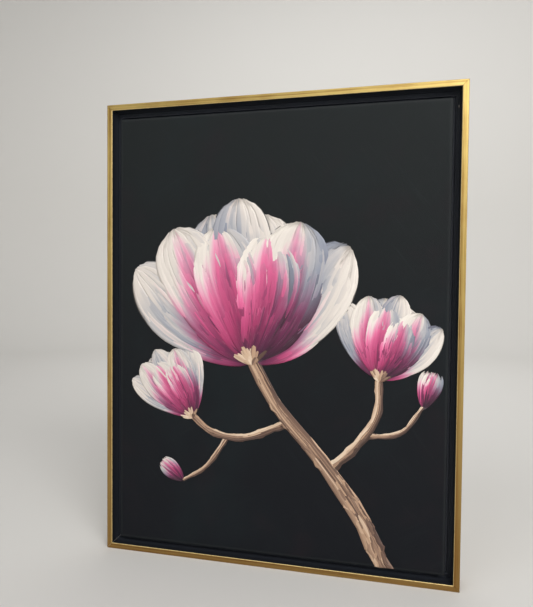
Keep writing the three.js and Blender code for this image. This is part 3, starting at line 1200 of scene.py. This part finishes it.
@dataclass
class Ribbons:
    """Many brush strokes as closed ribbons of paint, gathered until they are made into one piece."""

    steps: int
    across: int
    reach: tuple[float, float] = (227.2, 303.4)
    points: list[Array] = field(default_factory=list)
    colors: list[Array] = field(default_factory=list)
    marks: list[Array] = field(default_factory=list)

    def add(
        self, line: Array, side: Array, half: Array, color: Array, lift: Array, crown: Array
    ) -> None:
        """Adds strokes. Each is a crowned ribbon that falls to nothing at its ends.

        Its height is 1 less the fourth power of the way across. What would run past the canvas's edge is
        pressed against it.

        Args:
            line: Middle lines in millimetres, strokes by steps by two.
            side: Unit vectors across them, of the same shape.
            half: Half widths in millimetres, strokes by steps.
            color: Display colours, strokes by steps by places across by three.
            lift: How far each stroke's edge stands off the canvas, in millimetres.
            crown: How much higher its middle is.
        """
        c = np.linspace(-1, 1, self.across)
        spot = line[:, :, None, :] + side[:, :, None, :] * (half[:, :, None] * c)[..., None]
        kept = np.clip(spot, [-r for r in self.reach], self.reach)
        spot = kept + (spot - kept) * 0.02
        ends = np.sin(np.linspace(0.12, math.pi - 0.12, self.steps))[None, :, None] ** 0.5
        height = (lift[:, None, None] + crown[:, None, None] * (1 - c**4)) * ends + 0.02
        top = np.stack([spot[..., 0], -height, spot[..., 1]], -1)
        foot = top[:, :, [-1, 0]].copy()
        foot[..., 1] = 0.05
        self.points.append(np.concatenate([top, foot], 2))
        self.colors.append(np.concatenate([color, color[:, :, [-1, 0]]], 2))
        gone = np.cumsum(np.linalg.norm(np.diff(line, axis=1), axis=2), axis=1)
        way = np.concatenate([np.zeros((len(line), 1)), gone], 1)[:, :, None]
        number = np.arange(len(line))[:, None, None] + 37.0 * len(self.points)
        mark = np.stack(np.broadcast_arrays(way * MM, half[:, :, None] * c * MM, number * 1.7), -1)
        self.marks.append(np.concatenate([mark, mark[:, :, [-1, 0]]], 2))

    def make(self, name: str, origin: Vector, material: Material) -> Piece:
        """Makes all strokes one piece on the canvas.

        Args:
            name: The piece's name.
            origin: The middle of the canvas's front.
            material: The paint's finish.

        Returns:
            The piece.
        """
        points = np.concatenate(self.points)
        count, steps, around = points.shape[:3]
        tube = grid_faces(steps, around, closed_columns=True)
        caps = np.stack([np.arange(around)[::-1], np.arange(around) + (steps - 1) * around])
        shift = (np.arange(count) * steps * around)[:, None, None]
        quads, ends = (tube + shift).reshape(-1, 4), (caps + shift).reshape(-1, around)
        smooth = np.tile(np.arange(around) < self.across - 1, (steps - 1) * count)
        faces = [*quads.tolist(), *ends.tolist()]
        spots = points.reshape(-1, 3) * MM + np.array(origin)
        smooth = np.concatenate([smooth, np.zeros(len(ends), bool)])
        piece = make_piece(name, spots, faces, material, smooth=smooth)
        pigment = piece.data.attributes.new("pigment", "FLOAT_COLOR", "POINT")
        light = to_linear(np.concatenate(self.colors).reshape(-1, 3))
        pigment.data.foreach_set("color", np.concatenate([light, np.ones((len(light), 1))], 1).ravel())
        bristle = piece.data.attributes.new("bristle", "FLOAT_VECTOR", "POINT")
        bristle.data.foreach_set("vector", np.concatenate(self.marks).ravel())
        self._spread_map(piece, count, steps, around)
        return piece

    @staticmethod
    def _spread_map(piece: Piece, count: int, steps: int, around: int) -> None:
        """Gives each stroke its own cell of a map, with its skin laid out flat and its two ends beside it.

        Args:
            piece: The strokes.
            count: How many strokes there are.
            steps: Rings along each.
            around: Points round each ring.
        """
        columns = max(1, round(math.sqrt(count / 4)))
        rows = math.ceil(count / columns)
        k = np.arange(steps - 1)[:, None, None] + np.array([0, 1, 1, 0])
        r = np.arange(around)[None, :, None] + np.array([0, 0, 1, 1])
        u = 0.08 + 0.84 * k / (steps - 1) + 0 * r
        v = 0.06 + 0.88 * r / around + 0 * k
        body = np.stack([u, v], -1).reshape(1, -1, 2)
        turn = np.linspace(0, math.tau, around, endpoint=False)
        disc = np.stack([0.02 * np.cos(turn), 0.2 * np.sin(turn)], -1)
        ends = np.stack([disc[::-1] + [0.04, 0.5], disc + [0.96, 0.5]]).reshape(1, -1, 2)
        cell = np.stack([np.arange(count) % columns, np.arange(count) // columns], -1)[:, None, :]
        scale = np.array([columns, rows])
        laid = np.concatenate([((part + cell) / scale).reshape(-1, 2) for part in (body, ends)])
        piece.data.uv_layers.new(name="OFBake").data.foreach_set("uv", laid.ravel())


@dataclass
class FlowerPainting:
    """A spray of cup-shaped flowers on a pale branch, in brushed paint on the dark ground.

    Fields are the seed, the brush's lanes on a wide petal, the steps along and places across of a branch's
    stroke, of a thin coat and of a petal's stroke, how much light makes dusk and noon and how far tones run
    from each, the flowers, and the way to the light.
    """

    seed: int = 24
    lanes: int = 34
    branch_grid: tuple[int, int] = (12, 5)
    coat_grid: tuple[int, int] = (26, 15)
    stroke_grid: tuple[int, int] = (9, 5)
    dusk: float = 0.28
    dusk_span: float = 0.34
    noon: float = 0.62
    noon_span: float = 0.4
    blooms: tuple[Bloom, ...] = (
        Bloom((142, -52), 12, 112, 0.8),
        Bloom((-116, -116), -34, 108, 0.62),
        Bloom((-30, -34), -7, 224, 1.0),
    )
    light: tuple[float, float] = (-0.62, 0.78)
    random: np.random.Generator = field(init=False)

    def __post_init__(self) -> None:
        """Starts the seeded draw."""
        self.random = np.random.default_rng(self.seed)

    def build(self, canvas: Extent) -> list[Piece]:
        """Paints the branch, then each flower from the hindmost petal to the nearest.

        Args:
            canvas: The canvas's box.

        Returns:
            The pieces of paint.
        """
        origin = Vector((canvas.middle.x, canvas.low.y + 0.02 * MM, canvas.middle.z))
        paint = BrushedPaint().material()
        branch = Ribbons(*self.branch_grid)
        self._paint_branches(branch)
        made = [branch.make("paint_branch", origin, paint)]
        for name, bloom in zip(("right", "left", "middle"), self.blooms):
            ground, strokes = Ribbons(*self.coat_grid), Ribbons(*self.stroke_grid)
            for order, petal in enumerate(bloom.petals()):
                self._paint_petal(ground, strokes, petal, bloom.size, 0.04 + 0.06 * order)
            made.append(ground.make(f"paint_ground_{name}", origin, paint))
            made.append(strokes.make(f"paint_petals_{name}", origin, paint))
        return made

    def _color(self, petal: Petal, t: Array, v: Array, jitter: Array) -> Array:
        """The colour of a petal at t along and v across.

        Pink runs up from the root, further along the middle and in veins. Light falls from the upper left
        on a surface that is round across, or hollow where the inside shows, and the root lies in shade.

        Args:
            petal: The petal.
            t: The way along.
            v: The way across.
            jitter: A small change of tone for each place.

        Returns:
            Display colours, with a last axis of three.
        """
        veins = 0.05 * np.sin(v * 17 + petal.heading) + 0.035 * np.sin(v * 41 + petal.bend)
        reach = petal.flame * (0.72 + 0.5 * np.exp(-((v / 0.42) ** 2)) + veins)
        pink = np.clip(1 - t / np.maximum(reach, 0.05), 0, 1) ** 0.85 + jitter * 0.12
        palette = [Pigment.WHITE, Pigment.BLUSH, Pigment.PINK, Pigment.MAGENTA, Pigment.WINE]
        stops = [0.03, 0.22, 0.46, 0.78, 1.0]
        base = np.stack([np.interp(pink, stops, [p[k] for p in palette]) for k in range(3)], -1)
        _, side = petal.lay(t, v)
        facing = side @ np.array(self.light)
        rounded = v * facing * (-1 if petal.hollow else 1)
        lit = 0.64 + 0.42 * rounded + 0.2 * (t - 0.45) + jitter * 0.35
        lit = lit - petal.shade * (0.95 - 0.75 * t)
        crease = 0.16 * np.exp(-(((v + 0.04) / 0.07) ** 2)) * (1 - t)
        lit = np.clip(lit - crease, 0, 1.15)[..., None]
        whiteness = np.clip(1 - pink * 2.2, 0, 1)[..., None]
        dark = whiteness * Pigment.COOL_SHADE + (1 - whiteness) * (base * 0.52 + np.array([10, 2, 16.0]))
        deep = whiteness * Pigment.DEEP_SHADE + (1 - whiteness) * (base * 0.3 + np.array([6, 4, 12.0]))
        bright = whiteness * Pigment.WARM_WHITE + (1 - whiteness) * np.minimum(base * 1.12 + 12, 245)
        shadow = deep + (dark - deep) * lit / self.dusk
        halftone = dark + (base - dark) * (lit - self.dusk) / self.dusk_span
        highlight = base + (bright - base) * np.clip((lit - self.noon) / self.noon_span, 0, 1)
        return np.where(lit > self.noon, highlight, np.where(lit < self.dusk, shadow, halftone))

    def _paint_petal(
        self, ground: Ribbons, strokes: Ribbons, petal: Petal, size: float, lift: float
    ) -> None:
        """Fills a petal with one thin coat on a dark edge, then brushes it from root to tip, lights last.

        A pass has its number of strokes, where along the petal they start and end, their width to the
        petal's, how far they stand off, how far their tones stray, and whether they keep to its edges.

        Args:
            ground: Where the thin coat goes.
            strokes: Where the brush strokes go.
            petal: The petal.
            size: The flower's size in millimetres.
            lift: How far the petal's paint stands off the canvas, in millimetres.
        """
        t = np.linspace(0, 1, ground.steps)[None, :]
        line, side = petal.lay(t, np.zeros_like(t))
        half = petal.half_width(t)
        v = np.linspace(-1, 1, ground.across)
        color = self._color(petal, t[..., None] + 0 * v, v + 0 * t[..., None], np.zeros((1, 1, 1)))
        ground.add(line, side, half + size * 0.006, color * 0.42, np.array([lift - 0.02]), np.array([0.04]))
        ground.add(line, side, np.maximum(half, 0.2), color * 0.92, np.array([lift]), np.array([0.05]))

        count = int(self.lanes * (0.5 + 0.5 * petal.width / (0.46 * size)))
        passes = (
            (count, 0.0, 0.5, 0.085, 0.05, 1.0, False),
            (int(count * 1.1), 0.28, 0.82, 0.078, 0.05, 1.0, False),
            (count, 0.55, 1.0, 0.07, 0.05, 1.0, False),
            (count // 2, 0.25, 0.99, 0.035, 0.1, 1.6, False),
            (count // 3, 0.02, 0.6, 0.022, 0.12, 2.2, False),
            (8, 0.3, 0.98, 0.022, 0.13, 0.6, True),
        )
        for number, low, high, width, above, contrast, rim in passes:
            half = width * petal.width
            self._brush(strokes, petal, number, low, high, half, lift + above, contrast, rim)

    def _brush(
        self,
        strokes: Ribbons,
        petal: Petal,
        count: int,
        low: float,
        high: float,
        width: float,
        lift: float,
        contrast: float,
        rim: bool = False,
    ) -> None:
        """Lays strokes along a petal's lanes.

        Args:
            strokes: Where they go.
            petal: The petal.
            count: How many.
            low: Where along the petal they start, about.
            high: Where they end, about.
            width: Half a stroke's width at the petal's widest, in millimetres.
            lift: How far they stand off the canvas.
            contrast: How far their tones stray.
            rim: Whether they keep to the petal's two edges and are lighter.
        """
        draw = self.random
        lane = (np.arange(count) + draw.uniform(0, 1, count)) / count * 1.84 - 0.92
        if rim:
            lane = np.sign(lane) * draw.uniform(0.86, 0.95, count)
        draw.shuffle(lane)
        start = np.clip(low + draw.uniform(-0.1, 0.12, count), 0, 0.9)
        end = np.clip(high + draw.uniform(-0.16, 0.04, count), start + 0.08, 0.995)
        s = np.linspace(0, 1, strokes.steps)
        t = start[:, None] + (end - start)[:, None] * s
        drift = draw.uniform(-0.06, 0.06, count)[:, None] * s
        v = np.clip(lane[:, None] + drift, -0.97, 0.97)
        line, side = petal.lay(t, v)
        taper = np.sin(np.clip(s * 0.92 + 0.06, 0, 1) * math.pi) ** 0.45
        local = 0.35 + 0.65 * petal.half_width(t) / petal.half_width(np.linspace(0, 1, 50)).max()
        half = width * draw.uniform(0.6, 1.2, count)[:, None] * taper * local
        tone = draw.normal(0.45 if rim else 0, 0.16, count)[:, None] * contrast
        c = np.linspace(-1, 1, strokes.across)
        edge = v[:, :, None] + half[:, :, None] * c / np.maximum(petal.half_width(t)[:, :, None], 1)
        jitter = tone[:, :, None] + draw.normal(0, 0.05, (count, strokes.steps, 1))
        color = self._color(petal, np.broadcast_to(t[:, :, None], edge.shape), edge, jitter)
        heights = lift + draw.uniform(0, 0.1, count)
        strokes.add(line, side, half, color, heights, draw.uniform(0.05, 0.14, count))

    def _paint_branches(self, strokes: Ribbons) -> None:
        """Paints the branch and its twigs, the thickest first. Each is a smooth line through a few points.

        Args:
            strokes: Where the strokes go.
        """
        twigs = [
            ([(156, -318), (120, -240), (60, -160), (8, -102), (-30, -36)], 9.5, 6.0),
            ([(76, -182), (114, -144), (140, -102), (142, -54)], 6.0, 4.0),
            ([(20, -120), (-38, -144), (-86, -140), (-116, -118)], 5.2, 3.6),
            ([(122, -132), (170, -124), (198, -88)], 3.6, 2.2),
            ([(-62, -142), (-94, -188), (-130, -212)], 3.6, 2.0),
        ]
        for points, thick, thin in twigs:
            self._paint_twig(strokes, np.array(points, float), thick, thin)
        for root, lean, size in (((198, -90), 14, 52), ((-130, -212), -52, 44)):
            for offset, shade in ((-13, 0.5), (14, 0.45), (1, 0.12)):
                bud = Petal(root, lean + offset, -offset * 1.2, 0, size, size * 0.42, 0.95, shade, False)
                self._brush(strokes, bud, 22, 0.02, 0.92, 2.2, 0.3, 1.2)
        for root, lean, size in (((-30, -38), -7, 32), ((142, -55), 12, 20), ((-116, -119), -34, 19)):
            self._paint_scales(strokes, root, lean, size)

    def _paint_scales(self, strokes: Ribbons, root: tuple[float, float], lean: float, size: float) -> None:
        """Paints the downy scales at a flower's foot, as short pale strokes fanned about its stem.

        Args:
            strokes: Where they go.
            root: The flower's foot, in millimetres.
            lean: The stem's heading, in degrees.
            size: The longest scale, in millimetres.
        """
        count = 26
        draw = self.random
        s = np.linspace(0, 1, strokes.steps)
        heading = np.radians(lean + draw.uniform(-62, 62, count))[:, None]
        length = size * draw.uniform(0.5, 1.0, count)[:, None] * s
        rise = np.cos(heading) * length - size * 0.15
        line = np.array(root) + np.stack([np.sin(heading) * length, rise], -1)
        side = np.broadcast_to(np.stack([np.cos(heading), -np.sin(heading)], -1), line.shape)
        half = size * 0.085 * np.sin(np.clip(s, 0.06, 0.97) * math.pi)[None, :] ** 0.6 + np.zeros((count, 1))
        tone = np.clip(0.5 - np.sin(heading) * 0.45 + draw.normal(0, 0.16, (count, 1)), 0, 1)[..., None, None]
        shade = np.where(tone > 0.5, Pigment.TAN + (Pigment.TAN_LIGHT - Pigment.TAN) * (tone - 0.5) * 2, 0)
        shade = np.where(tone > 0.5, shade, Pigment.UMBER + (Pigment.TAN - Pigment.UMBER) * tone * 2)
        color = np.broadcast_to(shade, (count, strokes.steps, strokes.across, 3))
        lift = draw.uniform(0.84, 0.96, count)
        strokes.add(line, side, half, color, lift, draw.uniform(0.08, 0.16, count))

    def _paint_twig(self, strokes: Ribbons, knots: Array, thick: float, thin: float) -> None:
        """Paints one twig: strokes follow a smooth line through its knots, light above left, dark below.

        Args:
            strokes: Where they go.
            knots: A few points in millimetres, from the thick end.
            thick: Half the width at the first.
            thin: Half the width at the last.
        """
        draw = self.random
        fine = np.linspace(0, len(knots) - 1, 240)
        line = np.stack([self._smooth(fine, knots[:, k]) for k in range(2)], -1)
        way = np.concatenate([[0], np.cumsum(np.linalg.norm(np.diff(line, axis=0), axis=1))])
        length = way[-1]
        count = max(40, int(length * thick / 7))
        lane = draw.uniform(-0.95, 0.95, count)
        full = count // 3
        lane[:full] = np.linspace(-0.95, 0.95, full)
        start = draw.uniform(-0.02, 0.9, count) * length
        start[:full] = draw.uniform(0, 0.3, full) * length
        span = draw.uniform(24, 60, count)
        span[:full] = length
        s = np.linspace(0, 1, strokes.steps)
        at = np.clip(start[:, None] + span[:, None] * s, 0, length)
        middle = np.stack([np.interp(at, way, line[:, k]) for k in range(2)], -1)
        ahead = np.stack([np.interp(at + 1, way, k) - np.interp(at - 1, way, k) for k in line.T], -1)
        ahead /= np.maximum(np.linalg.norm(ahead, axis=-1, keepdims=True), 1e-6)
        side = np.stack([ahead[..., 1], -ahead[..., 0]], -1)
        knobs = 1 + 0.16 * np.sin(at * 0.19) + 0.1 * np.sin(at * 0.47 + 1)
        half = (thick + (thin - thick) * at / length) * knobs
        v = lane[:, None]
        spot = middle + side * (v * half)[..., None]
        facing = 0.55 * v * (side @ np.array(self.light))
        lit = np.clip(0.5 + facing + draw.normal(0, 0.14, (count, 1)), 0, 1)
        ramp = [Pigment.UMBER * 0.72, Pigment.UMBER, Pigment.TAN, Pigment.TAN_LIGHT]
        stops = [0, 0.3, 0.62, 0.95]
        color = np.stack([np.interp(lit, stops, [p[k] for p in ramp]) for k in range(3)], -1)
        color = np.broadcast_to(color[:, :, None, :], (count, strokes.steps, strokes.across, 3))
        width = half * draw.uniform(0.16, 0.3, count)[:, None]
        lift = draw.uniform(0.04, 0.22, count)
        strokes.add(spot, side, width, color, lift, draw.uniform(0.06, 0.16, count))

    @staticmethod
    def _smooth(at: Array, values: Array) -> Array:
        """A smooth curve through values at 0, 1, 2 and so on: Hermite pieces with the neighbours' slopes.

        Args:
            at: Where the curve is read.
            values: What it runs through.

        Returns:
            The curve there.
        """
        slope = np.gradient(values)
        i = np.clip(at.astype(int), 0, len(values) - 2)
        f = at - i
        rise = values[i] * (1 + 2 * f) * (1 - f) ** 2 + values[i + 1] * f**2 * (3 - 2 * f)
        return rise + slope[i] * f * (1 - f) ** 2 + slope[i + 1] * f**2 * (f - 1)


@dataclass
class Stretcher:
    """The four bars and eight keys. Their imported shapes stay."""

    sides: tuple[str, ...] = SIDES

    def dress(self) -> None:
        """Gives the bars pine and the keys plywood."""
        pine = {lie: PlanedPine(lie).material() for lie in Lie}
        for side in self.sides:
            dress_node(f"bar_{side}", pine[Lie.on(side)])
        ply = KeyPly().material()
        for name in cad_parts:
            if name.startswith("key_"):
                dress_node(name, ply)


@dataclass
class Hardware:
    """Screws, staples, hangers and bumpers at the back."""

    staple_pitch: float = 46 * MM
    staple_width: float = 11 * MM
    staple_inset: float = 17 * MM
    wire: float = 0.5 * MM
    screw_sides: int = 32
    ring_sides: int = 16
    ring_corner: float = 1.6 * MM
    bumper_sides: int = 40
    zinc: Material = field(init=False)
    nickel: Material = field(init=False)

    def __post_init__(self) -> None:
        """Mixes the platings."""
        self.zinc = PlatedSteel("zinc_plate", linear(198, 200, 204), 0.3).material()
        self.nickel = PlatedSteel("nickel_plate", linear(214, 208, 198), 0.2, 0.06).material()

    def build(self) -> Piece:
        """Builds every piece of hardware.

        Returns:
            The staples.
        """
        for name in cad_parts:
            if name.startswith(("screw_", "strap_screw_")):
                self._screw(name)
            elif name.startswith("strap_"):
                dress_node(name, self.zinc)
        for side in Side:
            self._ring(side)
            self._bumper(side)
        return self._staples()

    def _screw(self, name: str) -> None:
        """Replaces a packed screw by a turned one with a cross cut into its head.

        The head's back is a disc of rings, and the cross is a smooth pit where either X or Z is near nothing.

        Args:
            name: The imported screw's name.
        """
        box = Extent.of(name)
        head, top = box.size.x / 2, box.high.y
        domed = name.startswith("strap_")
        shank, tip = 1.6 * MM, box.low.y
        under = top - 2.0 * MM
        body = [(0.05 * MM, tip), (shank * 0.8, tip + 2.6 * MM), (shank, tip + 3.2 * MM), (shank, under)]
        if domed:
            body += [(head, under), (head, under + 0.8 * MM), (head * 0.93, under + 1.2 * MM)]
        else:
            body += [(head, top)]
        rings = np.linspace(1, 0.06, 12)
        rise = 0.8 * MM if domed else 0.0
        face = [(head * (0.93 if domed else 0.995) * r, top - rise * r**2) for r in rings]
        points, faces = revolved(np.array(body + face), self.screw_sides)
        pit = self._cross(points[:, 0] / head, points[:, 2] / head)
        points[:, 1] -= pit * 1.2 * MM * (points[:, 1] > top - 1.0 * MM)
        points += [box.middle.x, 0, box.middle.z]
        piece = make_piece(f"turned_{name}", points, faces, self.zinc)
        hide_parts(name)

    @staticmethod
    def _cross(x: Array, z: Array) -> Array:
        """How deep the driver's cross is at a point, from 0 to 1, in shares of the head's radius."""
        near, far = np.minimum(abs(x), abs(z)), np.maximum(abs(x), abs(z))
        return np.clip((0.16 - near) / 0.08, 0, 1) * np.clip((0.62 - far) / 0.18, 0, 1)

    def _ring(self, side: Side) -> None:
        """Replaces a packed ring by round wire bent to the same line.

        The line is a straight bar, two round corners, two short legs and a half circle, and the wire is a
        circle carried along it.

        Args:
            side: Which hanger it hangs on.
        """
        name = f"ring_{side.name.lower()}"
        box = Extent.of(name)
        wire = box.size.y / 2
        half, corner = box.size.z / 2 - wire, self.ring_corner
        straight = box.size.x - 2 * wire - half
        bar = np.linspace(-half + corner, half - corner, 13)
        bend, sweep = np.linspace(0, QUARTER, 7), np.linspace(QUARTER, -QUARTER, 41)
        first, last = bend[1:], bend[:-1]
        parts = (
            (0 * bar, bar),
            (corner - corner * np.cos(first), half - corner + corner * np.sin(first)),
            (straight + half * np.cos(sweep), half * np.sin(sweep)),
            (corner - corner * np.sin(last), -half + corner - corner * np.cos(last)),
        )
        outline = np.concatenate([np.stack(part, -1) for part in parts])
        points, faces = bent_wire(outline, wire, self.ring_sides, True)
        root = box.high.x - wire if side is Side.RIGHT else box.low.x + wire
        points = points[:, [0, 2, 1]] * [-side.value, 1, 1] + [root, box.middle.y, box.middle.z]
        body = f"{side.name.lower()}_hanger_ring"
        piece = make_piece(f"wire_{name}", points, faces, self.nickel, body)
        weld(piece, 0.001 * MM)
        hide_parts(name)

    def _bumper(self, side: Side) -> None:
        """Replaces a packed bumper by a smooth dome with a soft edge.

        Args:
            side: Which corner it sits at.
        """
        name = f"bumper_{side.name.lower()}"
        box = Extent.of(name)
        radius, height = box.size.x / 2, box.size.y
        turn = np.linspace(0, QUARTER, 9)[1:]
        wall = [(0.98, 0.0), (1.0, 0.0), (1.0, 0.35)]
        dome = np.stack([0.35 + 0.65 * np.cos(turn), 0.35 + 0.65 * np.sin(turn)], -1)
        profile = np.concatenate([wall, dome]) * [radius, height] + [0, box.low.y]
        points, faces = revolved(profile, self.bumper_sides)
        points += [box.middle.x, 0, box.middle.z]
        piece = make_piece(f"domed_{name}", points, faces, SoftRubber().material())
        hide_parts(name)

    def _staples(self) -> Piece:
        """Puts rows of wire staples through the cloth's turned-over band, and none beneath a hanger.

        A staple's line is two legs, two round shoulders and a bar, and each stands a little askew.

        Returns:
            The staples, as one piece.
        """
        cloth, strap = Extent.of("canvas"), Extent.of("strap_left")
        half, wire = self.staple_width / 2, self.wire
        turn = np.linspace(0, QUARTER, 4)
        shoulder = np.stack([-half + wire - wire * np.cos(turn), wire * np.sin(turn)], -1)
        line = np.concatenate([[(-half, -1.2 * MM)], shoulder])
        line = np.concatenate([line, line[::-1] * [-1, 1]])
        local, quads = bent_wire(line, wire, 8, False)

        spots = []
        wide, high = cloth.size.x, cloth.size.z
        for length, offset, upright in ((wide, high, False), (high, wide, True)):
            count = round((length - 60 * MM) / self.staple_pitch)
            along = np.tile(np.linspace(-length / 2 + 42 * MM, length / 2 - 42 * MM, count), 2)
            aside = np.repeat([-1.0, 1.0], count) * (offset / 2 - self.staple_inset)
            spots.append(np.stack([aside, along] if upright else [along, aside], -1))
        askew = np.radians(np.random.default_rng(5).normal(0, 7, sum(map(len, spots))))
        askew += np.repeat([0, QUARTER], [len(row) for row in spots])
        place = np.concatenate(spots)
        near = np.abs(place[:, 1] + cloth.middle.z - strap.middle.z) < 14 * MM
        clear = ~(near & (np.abs(place[:, 0]) > cloth.size.x / 2 - 30 * MM))
        place, askew = place[clear], askew[clear, None]

        x = place[:, :1] + local[:, 0] * np.cos(askew) - local[:, 2] * np.sin(askew)
        z = place[:, 1:] + local[:, 0] * np.sin(askew) + local[:, 2] * np.cos(askew)
        y = np.broadcast_to(cloth.high.y + local[:, 1], x.shape)
        points = np.stack([x + cloth.middle.x, y, z + cloth.middle.z], -1).reshape(-1, 3)
        faces = (quads[None] + (np.arange(len(place)) * len(local))[:, None, None]).reshape(-1, 4)
        piece = make_piece("staples", points, faces, self.zinc)
        weld(piece, 0.001 * MM)
        return piece


@dataclass(frozen=True)
class SoftBox:
    """A square lamp, in metres and watts. Its place and aim count from the frame's front lower edge."""

    name: str
    at: tuple[float, float, float]
    size: float
    power: float
    aim: tuple[float, float, float] = (0, 0, 0.32)

    def hang(self, foot: Vector) -> None:
        """Hangs the lamp, turned to its aim and unseen by the camera.

        Args:
            foot: The middle of the frame's front lower edge.
        """
        data = bpy.data.lights.new(self.name, "AREA")
        data.size = self.size
        data.energy = self.power
        lamp = bpy.data.objects.new(self.name, data)
        lamp.visible_camera = False
        bpy.context.scene.collection.objects.link(lamp)
        at, aim = foot + Vector(self.at), foot + Vector(self.aim)
        turn = (aim - at).to_track_quat("-Z", "Y").to_matrix().to_4x4()
        lamp.matrix_world = Matrix.Translation(at) @ turn


@dataclass
class Studio:
    """A pale floor, soft lights and the camera."""

    eye: tuple[float, float, float] = (0.1519, -0.7013, 0.3846)
    ahead: tuple[float, float, float] = (-0.2227, 0.97444, -0.02969)
    up: tuple[float, float, float] = (-0.01532, 0.02695, 0.99952)
    focal_pixels: float = 531.7
    picture_pixels: float = 607.0
    sensor: float = 36.0
    sweep_start: float = 2.6
    sweep: float = 1.0
    wall: float = 4.0
    floor_sides: int = 96
    sky: Colour = linear(226, 228, 232)
    sky_strength: float = 0.3
    boxes: tuple[SoftBox, ...] = (
        SoftBox("key", (1.1, -1.6, 1.8), 1.1, 40),
        SoftBox("panel", (0.55, -2.1, 1.1), 1.5, 3.5),
        SoftBox("left_fill", (-1.9, -1.5, 0.9), 1.2, 4.5),
        SoftBox("right_rim", (1.9, -1.1, 0.7), 0.6, 8),
        SoftBox("overhead", (-0.4, -1.0, 1.9), 0.7, 6),
        SoftBox("backdrop", (0, 1.3, 2.4), 1.6, 42, (0, 3.6, 0.6)),
    )

    def build(self, outer: Extent) -> None:
        """Sets the floor, the lights and the camera.

        Args:
            outer: The frame's outer box. The eye is given from the middle of its front's lower edge.
        """
        foot = Vector((outer.middle.x, outer.low.y, outer.low.z))
        self._floor(outer.low.z)
        self._camera(foot)
        self._lights(foot)

    def _floor(self, level: float) -> None:
        """A wide pale floor that sweeps up all round in a quarter circle, like a bowl, and faces inwards.

        Args:
            level: How high it lies.
        """
        turn = np.linspace(0, QUARTER, 13)
        radius = np.concatenate([[0.02, 1.5], self.sweep_start + self.sweep * np.sin(turn)])
        rise = np.concatenate([[0.0, 0.0], self.sweep * (1 - np.cos(turn))])
        radius, rise = np.append(radius, radius[-1]), np.append(rise, self.wall)
        way = np.linspace(0, math.tau, self.floor_sides, endpoint=False)[None, :]
        ring = radius[:, None] * np.stack([np.cos(way), np.sin(way)])
        points = np.stack([ring[0], ring[1], level + rise[:, None] + 0 * way[0]], -1).reshape(-1, 3)
        bowl = grid_faces(len(radius), self.floor_sides, closed_columns=True)
        faces = [*bowl.tolist(), list(range(self.floor_sides))]
        mesh = bpy.data.meshes.new("studio_floor")
        mesh.from_pydata(points.tolist(), [], faces)
        mesh.materials.append(StudioFloor().material())
        mesh.shade_smooth()
        floor = bpy.data.objects.new("studio_floor", mesh)
        bpy.context.scene.collection.objects.link(floor)

    def _camera(self, foot: Vector) -> None:
        """Places the camera as the photograph's stood to the picture.

        Args:
            foot: The middle of the frame's front lower edge.
        """
        data = bpy.data.cameras.new("camera")
        data.sensor_width = self.sensor
        data.lens = self.focal_pixels * self.sensor / self.picture_pixels
        camera = bpy.data.objects.new("camera", data)
        bpy.context.scene.collection.objects.link(camera)
        back = -Vector(self.ahead).normalized()
        right = Vector(self.up).cross(back).normalized()
        up = back.cross(right)
        turn = Matrix((right, up, back)).transposed().to_4x4()
        camera.matrix_world = Matrix.Translation(foot + Vector(self.eye)) @ turn
        bpy.context.scene.camera = camera

    def _lights(self, foot: Vector) -> None:
        """Soft boxes and a dim sky.

        The key stands high on the right, so that it lights the paint but isn't mirrored in the lip. A broad
        weak panel behind the camera gives the lip's top right its shine, and the small rim and overhead boxes
        light the lip's inner edge. The last one lights the sweep behind the picture.

        Args:
            foot: The middle of the frame's front lower edge.
        """
        for box in self.boxes:
            box.hang(foot)
        world = bpy.data.worlds.new("sky")
        bpy.context.scene.world = world
        world.use_nodes = True
        background = world.node_tree.nodes["Background"]
        background.inputs["Color"].default_value = (*self.sky, 1.0)
        background.inputs["Strength"].default_value = self.sky_strength
        bpy.context.scene.view_settings.view_transform = "Standard"


def main() -> None:
    """Builds the picture piece by piece."""
    logging.basicConfig(level=logging.INFO, format="%(name)s: %(message)s")
    moulding = FloaterFrame()
    Studio().build(moulding.outer)
    moulding.dress()
    canvas = StretchedCanvas()
    cloth = canvas.build()
    paint = FlowerPainting().build(canvas.box)
    Stretcher().dress()
    Hardware().build()


if __name__ == "__main__":
    main()
